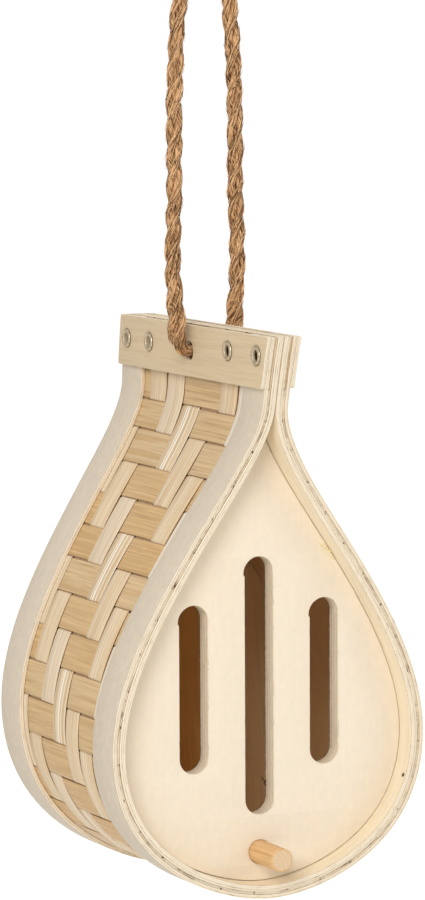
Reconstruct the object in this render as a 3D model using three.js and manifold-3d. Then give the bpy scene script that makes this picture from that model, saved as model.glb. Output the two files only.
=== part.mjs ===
// A woven teardrop insect hotel hanging on a rope loop, in millimetres, +Z up.
// The slotted front faces -Y. The origin is the top of the knot that it hangs by.
import * as THREE from 'three';
import { mergeVertices } from 'three/addons/utils/BufferGeometryUtils.js';
import Module from 'manifold-3d';

const wasm = await Module();
wasm.setup();

// Body outline, measured on the outer face of the edge bands
const BODY_HEIGHT = 261;
const BODY_WIDTH = 158;
const FOOT_DEPTH = 121.5;
const NECK_DEPTH = 166;
const NECK_LEAN = 16.5;
const LEAN_FOOT_SHARE = 0.6538;
const BELLY_SHARE = 0.27885;
const NECK_HEIGHT = 32.7;
const BOTTOM_HANDLE_SHARE = 0.336;
const BELLY_LOW_SHARE = 0.743;
const BELLY_HIGH_SHARE = 0.382;
const NECK_HANDLE_SHARE = 0.202;
const SMOOTH_TURN_DEGREES = 7;

// Wall layers, from the inside out
const SHELL_WALL = 3;
const SPLINT_WALL = 0.5;
const RIM_WALL = 2;
const RIM_DEPTH = 23.5;
const LAYER_GAP = 0.1;
const SEAM_GAP = 0.3;

// Woven splints
const ROW_COUNT = 35;
const NARROW_ROW_COUNT = 2;
const NARROW_ROW_SHARE = 0.815;
const COLUMN_PITCH = 13;
const COLUMN_START = 14.4;
const COLUMN_COUNT = 9;
const SPLINT_GAP = 1.1;
const SPLINT_SETBACK = 0.4;
const SPLINT_EASE = 0.25;
const TWILL_REPEAT_COUNT = 4;
const TWILL_FLOAT_COUNT = 2;

// Front and back panels
const PANEL_WALL = 9.5;
const PANEL_RECESS = 11.9;
const PANEL_CLEARANCE = 0.3;
const PANEL_TOP_WIDTH = 7;

// Entrance slots
const SLOT_WIDTH = 14.4;
const SLOT_SPACING = 33.2;
const CENTRE_SLOT_BOTTOM_SHARE = 0.1431;
const CENTRE_SLOT_TOP_SHARE = 0.6042;
const SIDE_SLOT_BOTTOM_SHARE = 0.225;
const SIDE_SLOT_TOP_SHARE = 0.5242;
const SLOT_ARC_STEP_COUNT = 10;

// Perch
const PERCH_DIAMETER = 11;
const PERCH_REACH = 24;
const PERCH_HEIGHT = 19.9;
const PERCH_CHAMFER = 0.8;
const PERCH_CLEARANCE = 0.15;
const PERCH_SIDE_COUNT = 20;

// Neck clamp bars
const BAR_HEIGHT = 24.3;
const BAR_WALL = 2;
const BAR_CORNER = 1;

// Tubular rivets, their places along the neck given at the foot's depth
const RIVET_TUBE_DIAMETER = 6.4;
const RIVET_BORE_DIAMETER = 5.4;
const RIVET_HEAD_DIAMETER = 9.5;
const RIVET_HEAD_HEIGHT = 0.9;
const RIVET_CROWN_DIAMETER = 7.4;
const RIVET_CLEARANCE = 0.2;
const RIVET_END_SETBACK = 9.2;
const RIVET_FRONT_SPACING = 24.8;
const RIVET_BACK_SPACING = 21.9;
const RIVET_FRONT_RISE = 3;
const RIVET_BACK_RISE = 1;
const RIVET_SIDE_COUNT = 12;

// Rope and knot
const ROPE_DIAMETER = 8;
const ROPE_CLEARANCE = 0.5;
const ROPE_SIDE_COUNT = 8;
const ROPE_STEP_COUNT = 68;
const HANG_HEIGHT = 262;
const KNOT_HEIGHT = 32;
const KNOT_WIDTH = 32;
const KNOT_SEAT_WIDTH = 20;
const KNOT_BULGE_SHARES = [[1, 0.3], [1, 0.62], [0.72, 0.9]];

// One strand of the rope, from the hole up to the knot: out from the middle, and up
const STRAND = [
  [0, 0], [6, 0], [10.6, 0.3], [13.4, 2.8], [14.5, 8], [15, 15], [15.8, 26], [16.6, 40],
  [16.4, 54], [15.6, 74], [15.6, 98], [15.4, 118], [14.6, 140], [12.8, 163], [10.4, 186],
  [7.9, 206], [5.8, 219], [4.9, 229.5],
];

// One overrun serves every cut, and points closer than this share of a gap are welded
const OVERRUN = 2;
const WELD_SHARE = 0.001;

// Inward offsets of each layer from the outer face
const OVER_FACE = RIM_WALL + LAYER_GAP;
const UNDER_FACE = OVER_FACE + SPLINT_WALL + LAYER_GAP;
const SHELL_FACE = UNDER_FACE + SPLINT_WALL + LAYER_GAP;
const INNER_FACE = SHELL_FACE + SHELL_WALL;
const NECK_HALF = INNER_FACE + SEAM_GAP / 2;
const BAR_INNER = NECK_HALF + LAYER_GAP;
const BAR_OUTER = BAR_INNER + BAR_WALL;
const BORE_HEIGHT = BODY_HEIGHT - BAR_HEIGHT / 2;
const BELLY_HEIGHT = BODY_HEIGHT * BELLY_SHARE;
const LEAN_FOOT = BODY_HEIGHT * LEAN_FOOT_SHARE;

// Materials
function finish(color, roughness, metalness) {
  return new THREE.MeshStandardMaterial({ color, roughness, metalness });
}

const PLY = finish(0xd9c9a8, 0.72, 0);
const LINER = finish(0xb08a5e, 0.78, 0);
const PANEL = finish(0xe3cfa6, 0.7, 0);
const WEFT = finish(0xcfa873, 0.6, 0);
const WARP = finish(0xe2d0b4, 0.58, 0);
const DOWEL = finish(0xc79a66, 0.7, 0);
const BAR = finish(0xcdb38c, 0.72, 0);
const STEEL = finish(0xb9b7b2, 0.32, 1);
const JUTE = finish(0x9a7f58, 0.95, 0);

// Solids and cuts
function closed(geometry) {
  const bare = geometry.index ? geometry.toNonIndexed() : geometry.clone();
  bare.deleteAttribute('normal');
  bare.deleteAttribute('uv');
  return mergeVertices(bare, LAYER_GAP * WELD_SHARE);
}

function toManifold(geometry) {
  const welded = closed(geometry);
  return new wasm.Manifold(new wasm.Mesh({
    numProp: 3,
    vertProperties: Float32Array.from(welded.attributes.position.array),
    triVerts: Uint32Array.from(welded.index.array),
  }));
}

function fromManifold(solid) {
  const mesh = solid.getMesh();
  const geometry = new THREE.BufferGeometry();
  geometry.setAttribute('position', new THREE.BufferAttribute(mesh.vertProperties, 3));
  geometry.setIndex(new THREE.BufferAttribute(mesh.triVerts, 1));
  return geometry;
}

// The depth grows toward the neck behind the front band, and both bands keep their width
function deepenedPlace(y, z) {
  const share = THREE.MathUtils.clamp((y - RIM_DEPTH) / (FOOT_DEPTH - 2 * RIM_DEPTH), 0, 1);
  return y + share * (NECK_DEPTH - FOOT_DEPTH) * (z / BODY_HEIGHT);
}

// The neck leans forward as well
function leanedPlace(y, z) {
  const neckShare = Math.max(0, z - LEAN_FOOT) / (BODY_HEIGHT - LEAN_FOOT);
  return deepenedPlace(y, z) - NECK_LEAN * neckShare * neckShare;
}

function moved(geometry, place) {
  const places = geometry.attributes.position;
  for (let i = 0; i < places.count; i += 1) {
    places.setY(i, place(places.getY(i), places.getZ(i)));
  }
  return geometry;
}

function drill(geometry, cutters) {
  const body = toManifold(moved(geometry, leanedPlace));
  return fromManifold(cutters.reduce((rest, cutter) => rest.subtract(cutter), body));
}

function named(name, geometry, material) {
  const mesh = new THREE.Mesh(geometry, material);
  mesh.name = name;
  return mesh;
}

// The teardrop outline, its right half from the bottom to the top of the neck
function halfOutline() {
  const half = BODY_WIDTH / 2;
  const neckFoot = BODY_HEIGHT - NECK_HEIGHT;
  const rise = neckFoot - BELLY_HEIGHT;
  const path = new THREE.CurvePath();
  path.add(new THREE.CubicBezierCurve(
    new THREE.Vector2(0, 0),
    new THREE.Vector2(half * BOTTOM_HANDLE_SHARE, 0),
    new THREE.Vector2(half, BELLY_HEIGHT * (1 - BELLY_LOW_SHARE)),
    new THREE.Vector2(half, BELLY_HEIGHT),
  ));
  path.add(new THREE.CubicBezierCurve(
    new THREE.Vector2(half, BELLY_HEIGHT),
    new THREE.Vector2(half, BELLY_HEIGHT + rise * BELLY_HIGH_SHARE),
    new THREE.Vector2(NECK_HALF, neckFoot - rise * NECK_HANDLE_SHARE),
    new THREE.Vector2(NECK_HALF, neckFoot),
  ));
  path.add(new THREE.LineCurve(
    new THREE.Vector2(NECK_HALF, neckFoot),
    new THREE.Vector2(NECK_HALF, BODY_HEIGHT),
  ));
  return path;
}

const OUTLINE = halfOutline();
const HALF_LENGTH = OUTLINE.getLength();
const NARROW_ROWS_SAVED = 2 * NARROW_ROW_COUNT * (1 - NARROW_ROW_SHARE);
const ROW_PITCH = (2 * (HALF_LENGTH - BAR_HEIGHT)) / (ROW_COUNT - NARROW_ROWS_SAVED);

// A point at a distance along the outline, negative on the left, sunk below the outer face
function outlinePoint(along, sunk) {
  const share = Math.min(Math.abs(along) / HALF_LENGTH, 1);
  const side = along < 0 ? -1 : 1;
  const point = OUTLINE.getPoint(share);
  const tangent = OUTLINE.getTangent(share);
  return new THREE.Vector2(
    side * (point.x - tangent.y * sunk),
    point.y + tangent.x * sunk,
  );
}

function turnBetween(from, to) {
  const heading = (along) => {
    const tangent = OUTLINE.getTangent(Math.min(Math.abs(along) / HALF_LENGTH, 1));
    return Math.sign(along) * tangent.angle();
  };
  return Math.abs(heading(to) - heading(from));
}

// Rows of cross splints: one under the left bar, the rest round the bottom, one under the right bar
// The rows nearest the bars are beaten up closer than the others
function splintRows() {
  const edge = SPLINT_GAP / 2;
  const barFoot = HALF_LENGTH - BAR_HEIGHT;
  const rows = [{ index: -1, from: -HALF_LENGTH + edge, to: -barFoot - edge }];
  let start = -barFoot;
  for (let row = 0; row < ROW_COUNT; row += 1) {
    const fromEnd = Math.min(row, ROW_COUNT - 1 - row);
    const pitch = fromEnd < NARROW_ROW_COUNT ? ROW_PITCH * NARROW_ROW_SHARE : ROW_PITCH;
    rows.push({ index: row, from: start + edge, to: start + pitch - edge });
    start += pitch;
  }
  rows.push({ index: ROW_COUNT, from: barFoot + edge, to: HALF_LENGTH - edge });
  return rows;
}

// Columns of long splints, counted from the back edge
function splintColumns() {
  const columns = [];
  for (let column = 0; column < COLUMN_COUNT; column += 1) {
    const start = COLUMN_START + (column - 1) * COLUMN_PITCH;
    const last = column === COLUMN_COUNT - 1;
    const back = column === 0 ? SPLINT_SETBACK : start + SPLINT_GAP / 2;
    const front = last ? FOOT_DEPTH - SPLINT_SETBACK : start + COLUMN_PITCH - SPLINT_GAP / 2;
    columns.push({ index: column - 1, from: FOOT_DEPTH - front, to: FOOT_DEPTH - back });
  }
  return columns;
}

const ROWS = splintRows();
const COLUMNS = splintColumns();

// In this twill each cross splint floats over two long splints and dives under two
function crossSplintFloats(row, column) {
  const step = column.index - row.index + 1;
  const phase = ((step % TWILL_REPEAT_COUNT) + TWILL_REPEAT_COUNT) % TWILL_REPEAT_COUNT;
  return phase < TWILL_FLOAT_COUNT;
}

// Places along the outline that the flat splints and the wall below them share
function splintStations() {
  const edges = ROWS.flatMap((row) => [row.from, row.to]);
  return [-HALF_LENGTH, ...edges, HALF_LENGTH];
}

// The same places with more between them where the outline bends
function smoothStations() {
  const coarse = splintStations();
  const mostTurn = THREE.MathUtils.degToRad(SMOOTH_TURN_DEGREES);
  const fine = [coarse[0]];
  for (let i = 1; i < coarse.length; i += 1) {
    const from = coarse[i - 1];
    const span = coarse[i] - from;
    const parts = Math.max(1, Math.ceil(turnBetween(from, coarse[i]) / mostTurn));
    for (let part = 1; part <= parts; part += 1) {
      fine.push(from + (span * part) / parts);
    }
  }
  return fine;
}

const COARSE = splintStations();
const SMOOTH = smoothStations();

// A band between an outer and an inner row of points, run through a depth from the front
function band(outer, inner, front, depth) {
  const shape = new THREE.Shape([...outer, ...inner.slice().reverse()]);
  const geometry = new THREE.ExtrudeGeometry(shape, { depth, bevelEnabled: false });
  geometry.rotateX(Math.PI / 2);
  geometry.translate(0, front + depth, 0);
  return geometry;
}

function pointsAt(stations, sunk) {
  return stations.map((along) => outlinePoint(along, sunk));
}

// Bores through the neck
function bore(place, diameter, sides) {
  const length = 2 * (BAR_OUTER + OVERRUN);
  const geometry = new THREE.CylinderGeometry(diameter / 2, diameter / 2, length, sides);
  geometry.rotateZ(Math.PI / 2);
  geometry.translate(0, place.y, place.z);
  return toManifold(geometry);
}

const NECK_FRONT = leanedPlace(0, BORE_HEIGHT);
const NECK_BACK = leanedPlace(FOOT_DEPTH, BORE_HEIGHT);
const ROPE_PLACE = (NECK_FRONT + NECK_BACK) / 2;
const RIVET_FRONT_HEIGHT = BORE_HEIGHT + RIVET_FRONT_RISE;
const RIVET_BACK_HEIGHT = BORE_HEIGHT + RIVET_BACK_RISE;
const RIVET_PLACES = [
  { y: RIVET_END_SETBACK, z: RIVET_FRONT_HEIGHT },
  { y: RIVET_END_SETBACK + RIVET_FRONT_SPACING, z: RIVET_FRONT_HEIGHT },
  { y: FOOT_DEPTH - RIVET_END_SETBACK - RIVET_BACK_SPACING, z: RIVET_BACK_HEIGHT },
  { y: FOOT_DEPTH - RIVET_END_SETBACK, z: RIVET_BACK_HEIGHT },
].map(({ y, z }) => ({ y: leanedPlace(y, z), z }));
const RIVET_HOLE = RIVET_TUBE_DIAMETER + 2 * RIVET_CLEARANCE;
const ROPE_HOLE = ROPE_DIAMETER + 2 * ROPE_CLEARANCE;

function neckBores() {
  const bores = RIVET_PLACES.map((place) => bore(place, RIVET_HOLE, RIVET_SIDE_COUNT));
  bores.push(bore({ y: ROPE_PLACE, z: BORE_HEIGHT }, ROPE_HOLE, 2 * ROPE_SIDE_COUNT));
  return bores;
}

const BORES = neckBores();

// The moulded plywood shell: one strip bent round, its two ends side by side in the neck
function makeShell() {
  const outer = pointsAt(COARSE, SHELL_FACE);
  const inner = pointsAt(SMOOTH, INNER_FACE);
  return named('shell', drill(band(outer, inner, 0, FOOT_DEPTH), BORES), LINER);
}

// A thin plywood band wrapped over the weave along one edge of the shell
function makeRim(name, front) {
  const outer = pointsAt(SMOOTH, 0);
  const inner = pointsAt(COARSE, RIM_WALL);
  return named(name, drill(band(outer, inner, front, RIM_DEPTH), BORES), PLY);
}

// A long splint that runs round the body, rising and falling in the gaps between rows
function makeLongSplint(column) {
  const stations = [[-HALF_LENGTH, ROWS[0]]];
  for (const row of ROWS) {
    stations.push([row.from, row], [row.to, row]);
  }
  stations.push([HALF_LENGTH, ROWS[ROWS.length - 1]]);
  const face = (row) => (crossSplintFloats(row, column) ? UNDER_FACE : OVER_FACE);
  const sections = stations.map(([along, row]) => {
    const outer = outlinePoint(along, face(row));
    const inner = outlinePoint(along, face(row) + SPLINT_WALL);
    return [
      new THREE.Vector3(outer.x, column.to, outer.y),
      new THREE.Vector3(outer.x, column.from, outer.y),
      new THREE.Vector3(inner.x, column.from, inner.y),
      new THREE.Vector3(inner.x, column.to, inner.y),
    ];
  });
  const name = `long_splint_${String(column.index + 2).padStart(2, '0')}`;
  return named(name, drill(loft(sections), BORES), WARP);
}

// A flat cross splint that runs from front to back, lofted through its crossings
function makeCrossSplint(row) {
  const sections = [];
  const level = (column) => (crossSplintFloats(row, column) ? OVER_FACE : UNDER_FACE);
  const addSection = (y, face) => {
    const corners = [
      outlinePoint(row.from, face), outlinePoint(row.to, face),
      outlinePoint(row.to, face + SPLINT_WALL), outlinePoint(row.from, face + SPLINT_WALL),
    ];
    sections.push(corners.map((corner) => new THREE.Vector3(corner.x, y, corner.y)));
  };
  const frontFirst = COLUMNS.slice().reverse();
  addSection(SPLINT_SETBACK, level(frontFirst[0]));
  for (let i = 1; i < frontFirst.length; i += 1) {
    const before = level(frontFirst[i - 1]);
    const after = level(frontFirst[i]);
    if (before === after) continue;
    addSection(frontFirst[i - 1].to + SPLINT_EASE, before);
    addSection(frontFirst[i].from - SPLINT_EASE, after);
  }
  addSection(FOOT_DEPTH - SPLINT_SETBACK, level(frontFirst[frontFirst.length - 1]));
  const name = `cross_splint_${String(row.index + 2).padStart(2, '0')}`;
  return named(name, drill(loft(sections), BORES), WEFT);
}

// A closed skin through four-cornered sections, with a cap on each end
function loft(sections) {
  const corners = 4;
  const index = [];
  const quad = (a, b, c, d) => index.push(a, b, c, a, c, d);
  for (let i = 1; i < sections.length; i += 1) {
    const here = (i - 1) * corners;
    const next = i * corners;
    for (let k = 0; k < corners; k += 1) {
      const turn = (k + 1) % corners;
      quad(here + k, next + k, next + turn, here + turn);
    }
  }
  const last = (sections.length - 1) * corners;
  quad(0, 1, 2, 3);
  quad(last + 3, last + 2, last + 1, last);
  const geometry = new THREE.BufferGeometry().setFromPoints(sections.flat());
  geometry.setIndex(index);
  return geometry;
}

// The outline of a panel that sits inside the shell, cut off short in the neck
function panelOutline() {
  const sunk = INNER_FACE + PANEL_CLEARANCE;
  const right = pointsAt(SMOOTH.filter((along) => along > 0), sunk);
  const top = right.findIndex((point) => point.y > BELLY_HEIGHT && point.x < PANEL_TOP_WIDTH / 2);
  const kept = right.slice(0, top).filter((point) => point.x > 0);
  const before = kept[kept.length - 1];
  const after = right[top];
  const share = (before.x - PANEL_TOP_WIDTH / 2) / (before.x - after.x);
  kept.push(before.clone().lerp(after, share));
  const left = kept.slice().reverse().map((point) => new THREE.Vector2(-point.x, point.y));
  return [...kept, ...left];
}

// A slot with round ends, as a hole in a panel
function slotPath(x, bottomShare, topShare) {
  const radius = SLOT_WIDTH / 2;
  const bottom = BODY_HEIGHT * bottomShare;
  const top = BODY_HEIGHT * topShare;
  const points = [];
  for (const [end, start] of [[top - radius, 0], [bottom + radius, Math.PI]]) {
    for (let i = 0; i <= SLOT_ARC_STEP_COUNT; i += 1) {
      const angle = start + (Math.PI * i) / SLOT_ARC_STEP_COUNT;
      const corner = new THREE.Vector2(x + radius * Math.cos(angle), end + radius * Math.sin(angle));
      points.push(corner);
    }
  }
  return new THREE.Path(points);
}

function circlePoints(x, y, radius, sides) {
  const points = [];
  for (let i = 0; i < sides; i += 1) {
    const angle = (2 * Math.PI * i) / sides;
    points.push(new THREE.Vector2(x + radius * Math.cos(angle), y + radius * Math.sin(angle)));
  }
  return points;
}

// The front panel with three entrance slots and the hole that holds the perch
function makeFrontPanel() {
  const shape = new THREE.Shape(panelOutline());
  shape.holes.push(slotPath(0, CENTRE_SLOT_BOTTOM_SHARE, CENTRE_SLOT_TOP_SHARE));
  for (const side of [-1, 1]) {
    const x = side * SLOT_SPACING;
    shape.holes.push(slotPath(x, SIDE_SLOT_BOTTOM_SHARE, SIDE_SLOT_TOP_SHARE));
  }
  const seat = PERCH_DIAMETER / 2 + PERCH_CLEARANCE;
  shape.holes.push(new THREE.Path(circlePoints(0, PERCH_HEIGHT, seat, PERCH_SIDE_COUNT)));
  return named('front_panel', panelSolid(shape, PANEL_RECESS), PANEL);
}

function makeBackPanel() {
  const shape = new THREE.Shape(panelOutline());
  const front = FOOT_DEPTH - PANEL_RECESS - PANEL_WALL;
  return named('back_panel', panelSolid(shape, front), PANEL);
}

function panelSolid(shape, front) {
  const geometry = new THREE.ExtrudeGeometry(shape, { depth: PANEL_WALL, bevelEnabled: false });
  geometry.rotateX(Math.PI / 2);
  geometry.translate(0, front + PANEL_WALL, 0);
  return closed(moved(geometry, deepenedPlace));
}

// The perch: a dowel glued through the front panel under the centre slot
function makePerch() {
  const radius = PERCH_DIAMETER / 2;
  const length = PERCH_REACH + PANEL_WALL;
  const profile = [
    new THREE.Vector2(0, 0),
    new THREE.Vector2(radius, 0),
    new THREE.Vector2(radius, length - PERCH_CHAMFER),
    new THREE.Vector2(radius - PERCH_CHAMFER, length),
    new THREE.Vector2(0, length),
  ];
  const geometry = new THREE.LatheGeometry(profile, PERCH_SIDE_COUNT);
  geometry.rotateZ(Math.PI);
  const mesh = named('perch', closed(geometry), DOWEL);
  mesh.position.set(0, PANEL_RECESS + PANEL_WALL, PERCH_HEIGHT);
  return mesh;
}

// A thin bar along the neck, with bores for the rivets and the rope
function makeClampBar(name, side) {
  const half = BAR_HEIGHT / 2;
  const shape = new THREE.Shape();
  shape.moveTo(BAR_CORNER, -half);
  shape.lineTo(FOOT_DEPTH - BAR_CORNER, -half);
  shape.lineTo(FOOT_DEPTH, BAR_CORNER - half);
  shape.lineTo(FOOT_DEPTH, half - BAR_CORNER);
  shape.lineTo(FOOT_DEPTH - BAR_CORNER, half);
  shape.lineTo(BAR_CORNER, half);
  shape.lineTo(0, half - BAR_CORNER);
  shape.lineTo(0, BAR_CORNER - half);
  const geometry = new THREE.ExtrudeGeometry(shape, { depth: BAR_WALL, bevelEnabled: false });
  geometry.rotateX(Math.PI / 2);
  geometry.rotateZ(Math.PI / 2);
  geometry.translate(side > 0 ? BAR_INNER : -BAR_OUTER, 0, BORE_HEIGHT);
  return named(name, drill(geometry, BORES), BAR);
}

// A tubular rivet through the whole neck, its bore open from side to side
function makeRivet(name, place) {
  const seat = BAR_OUTER + LAYER_GAP;
  const hole = RIVET_BORE_DIAMETER / 2;
  const tube = RIVET_TUBE_DIAMETER / 2;
  const head = RIVET_HEAD_DIAMETER / 2;
  const crown = RIVET_CROWN_DIAMETER / 2;
  const top = seat + RIVET_HEAD_HEIGHT;
  const profile = [
    [hole, -top], [crown, -top], [head, -seat], [tube, -seat],
    [tube, seat], [head, seat], [crown, top], [hole, top], [hole, -top],
  ].map(([x, z]) => new THREE.Vector2(x, z));
  const geometry = new THREE.LatheGeometry(profile, RIVET_SIDE_COUNT);
  geometry.rotateZ(Math.PI / 2);
  const mesh = named(name, closed(geometry), STEEL);
  mesh.position.set(0, place.y, place.z);
  return mesh;
}

// The rope: one run from the knot, through the bore in the neck, and back to the knot
function makeRope() {
  const strand = STRAND.map(([out, up]) => new THREE.Vector3(out, 0, up));
  const other = strand.slice(1).reverse().map((p) => new THREE.Vector3(-p.x, p.y, p.z));
  const route = new THREE.CatmullRomCurve3([...other, ...strand], false, 'centripetal');
  const section = new THREE.Shape(circlePoints(0, 0, ROPE_DIAMETER / 2, ROPE_SIDE_COUNT));
  const options = { steps: ROPE_STEP_COUNT, extrudePath: route, bevelEnabled: false };
  return named('rope', closed(new THREE.ExtrudeGeometry(section, options)), JUTE);
}

// The knot that closes the loop above the house
function makeKnot() {
  const seat = KNOT_SEAT_WIDTH / 2;
  const width = KNOT_WIDTH / 2;
  const profile = [
    new THREE.Vector2(0, 0),
    new THREE.Vector2(seat, 0),
    ...KNOT_BULGE_SHARES.map(([out, up]) => new THREE.Vector2(width * out, KNOT_HEIGHT * up)),
    new THREE.Vector2(0, KNOT_HEIGHT),
  ];
  const geometry = new THREE.LatheGeometry(profile, 2 * ROPE_SIDE_COUNT);
  geometry.rotateX(Math.PI / 2);
  return named('knot', closed(geometry), JUTE);
}

// Assembly
function makeHouse() {
  const house = new THREE.Group();
  house.add(makeShell());
  house.add(makeRim('front_rim', 0));
  house.add(makeRim('back_rim', FOOT_DEPTH - RIM_DEPTH));
  COLUMNS.forEach((column) => house.add(makeLongSplint(column)));
  ROWS.forEach((row) => house.add(makeCrossSplint(row)));
  house.add(makeFrontPanel());
  house.add(makeBackPanel());
  house.add(makePerch());
  house.add(makeClampBar('clamp_bar_left', -1));
  house.add(makeClampBar('clamp_bar_right', 1));
  const rivetNames = ['rivet_front_outer', 'rivet_front_inner', 'rivet_back_inner', 'rivet_back_outer'];
  RIVET_PLACES.forEach((place, i) => house.add(makeRivet(rivetNames[i], place)));
  house.position.set(0, -ROPE_PLACE, -HANG_HEIGHT - BORE_HEIGHT);
  return house;
}

function makeHanger() {
  const hanger = new THREE.Group();
  const rope = makeRope();
  rope.position.z = -HANG_HEIGHT;
  const knot = makeKnot();
  knot.position.z = -KNOT_HEIGHT;
  hanger.add(rope, knot);
  return hanger;
}

const group = new THREE.Group();
group.add(makeHouse(), makeHanger());

export default group;
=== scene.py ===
"""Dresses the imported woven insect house: rope, splints, bands, boards, perch, bars and rivets."""
import math
import random

import bmesh
import bpy
import numpy as np
from mathutils import Matrix, Vector


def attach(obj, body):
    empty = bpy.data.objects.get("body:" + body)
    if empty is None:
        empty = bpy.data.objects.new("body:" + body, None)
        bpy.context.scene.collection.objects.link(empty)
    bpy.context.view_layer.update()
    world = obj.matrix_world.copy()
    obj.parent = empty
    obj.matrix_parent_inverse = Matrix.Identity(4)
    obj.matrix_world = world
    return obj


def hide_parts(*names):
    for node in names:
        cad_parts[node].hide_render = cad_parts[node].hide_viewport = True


bl_info = {
    "name": "Woven insect house",
    "version": (1, 0, 0),
    "blender": (4, 5, 0),
    "location": "View3D > Sidebar > Insect House",
    "description": "Builds the pieces and finishes of a woven insect house on its rope",
    "category": "Object",
}

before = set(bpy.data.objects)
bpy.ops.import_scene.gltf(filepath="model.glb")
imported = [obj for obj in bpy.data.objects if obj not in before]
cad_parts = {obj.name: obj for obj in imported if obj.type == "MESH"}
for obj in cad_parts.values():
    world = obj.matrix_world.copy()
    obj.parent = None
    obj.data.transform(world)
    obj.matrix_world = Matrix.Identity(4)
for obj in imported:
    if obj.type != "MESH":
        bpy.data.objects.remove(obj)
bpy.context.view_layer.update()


def paint(red, green, blue):
    """A colour as seen on screen, 0 to 255, as the linear values that a shader takes."""
    shares = [channel / 255 for channel in (red, green, blue)]
    return tuple(s / 12.92 if s <= 0.04045 else ((s + 0.055) / 1.055) ** 2.4 for s in shares)


def length(name, description, default):
    return bpy.props.FloatProperty(
        name=name, description=description, default=default, unit="LENGTH", precision=5, min=0.0
    )


def span(name, description, low, high):
    return bpy.props.FloatVectorProperty(
        name=name, description=description, default=(low, high), size=2, unit="LENGTH"
    )


def count(name, description, default, least):
    return bpy.props.IntProperty(name=name, description=description, default=default, min=least)


def colour(name, description, red, green, blue):
    return bpy.props.FloatVectorProperty(
        name=name, description=description, default=paint(red, green, blue), size=3,
        subtype="COLOR", min=0.0, max=1.0,
    )


# Sizes and colours

class BodySizes(bpy.types.PropertyGroup):
    height: length("Height", "Bottom of the body to the top of the neck", 0.261)
    width: length("Width", "Widest part, over the edge bands", 0.158)
    foot_depth: length("Foot depth", "Front to back at the bottom", 0.1215)
    neck_depth: length("Neck depth", "Front to back at the top, before the lean", 0.166)
    neck_lean: length("Neck lean", "How far the top of the neck leans forward", 0.0165)
    lean_foot: length("Lean foot", "Height where the forward lean starts", 0.170642)
    belly_height: length("Belly height", "Height of the widest part", 0.07278)
    neck_height: length("Neck height", "Straight part at the top", 0.0327)
    handles: bpy.props.FloatVectorProperty(
        name="Outline handles",
        description="Shares that shape the bottom, the lower belly, the upper belly and the neck",
        default=(0.336, 0.743, 0.382, 0.202),
        size=4,
    )
    shell_wall: length("Shell wall", "Moulded plywood shell", 0.003)
    splint_wall: length("Splint wall", "One woven splint", 0.0005)
    rim_wall: length("Band wall", "Edge band", 0.002)
    rim_depth: length("Band width", "Edge band, front to back", 0.0235)
    layer_gap: length("Layer gap", "Between layers", 0.0001)
    seam_gap: length("Seam gap", "Between the two ends of the shell", 0.0003)
    ease: length("Edge easing", "Rounding of the plywood edges", 0.0003)


class WeaveSizes(bpy.types.PropertyGroup):
    rows: count("Rows", "Cross splints below the clamp bars", 35, 1)
    narrow_rows: count("Narrow rows", "Rows next to each bar that lie closer", 2, 0)
    narrow_share: bpy.props.FloatProperty(
        name="Narrow share", description="Their width as a share of the others'", default=0.815,
        subtype="FACTOR", min=0.1, max=1.0,
    )
    columns: count("Columns", "Long splints", 9, 1)
    column_pitch: length("Column pitch", "Between long splints", 0.013)
    column_start: length("Column start", "Back edge to the second long splint", 0.0144)
    gap: length("Gap", "Between neighbouring splints", 0.0011)
    setback: length("Setback", "Splint ends behind the body's edges", 0.0004)
    ramp: length("Ramp", "How far a rise or fall reaches past the gap on each side", 0.0004)
    bulge: length("Bulge", "How far a float stands up in its middle", 0.00022)
    wander: length("Wander", "How far the edges of a splint wander", 0.0002)


class BoardSizes(bpy.types.PropertyGroup):
    wall: length("Wall", "Thickness of the front and back boards", 0.0095)
    recess: length("Recess", "Boards behind the body's edges", 0.0119)
    clearance: length("Clearance", "Between a board and the shell", 0.0003)
    top_width: length("Top width", "Where a board is cut off in the neck", 0.007)
    slot_width: length("Slot width", "Entrance slots", 0.0144)
    slot_spacing: length("Slot spacing", "Centre slot to side slot", 0.0332)
    centre_slot: span("Centre slot", "Its bottom and top", 0.037349, 0.157696)
    side_slot: span("Side slots", "Their bottom and top", 0.058725, 0.136816)
    perch_diameter: length("Perch diameter", "The dowel", 0.011)
    perch_reach: length("Perch reach", "How far the dowel stands out of the front board", 0.024)
    perch_height: length("Perch height", "Middle of the dowel above the bottom", 0.0199)


class NeckSizes(bpy.types.PropertyGroup):
    bar_height: length("Bar height", "Clamp bars", 0.0243)
    bar_wall: length("Bar wall", "Clamp bars", 0.002)
    bar_corner: length("Bar corner", "Rounding of the bars' corners", 0.001)
    rivet_setback: length("Rivet setback", "Outer rivets from ends, at the foot's depth", 0.0092)
    front_pair: length("Front pair", "Between the two front rivets, at the foot's depth", 0.0248)
    back_pair: length("Back pair", "Between the two back rivets, at the foot's depth", 0.0219)
    front_rise: length("Front rise", "Front rivets above the rope hole", 0.003)
    back_rise: length("Back rise", "Back rivets above the rope hole", 0.001)
    rivet_tube: length("Rivet tube", "Outer diameter of a tube", 0.0064)
    rivet_bore: length("Rivet bore", "Inner diameter of a tube", 0.0054)
    rivet_head: length("Rivet head", "Diameter of a rolled head", 0.0095)
    head_height: length("Head height", "How far a head stands up", 0.0009)
    rivet_clearance: length("Rivet clearance", "Tube to hole", 0.0002)
    rope_clearance: length("Rope clearance", "Rope to hole", 0.0005)


class RopeSizes(bpy.types.PropertyGroup):
    diameter: length("Diameter", "Rope", 0.008)
    lay: length("Lay", "One full turn of a strand", 0.04)
    hang: length("Hang", "Top of the knot above the rope hole", 0.262)
    knot_height: length("Knot height", "The wrapped knot", 0.032)
    fibres: count("Fibres", "Loose fibres for each metre of strand", 3400, 0)


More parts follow.
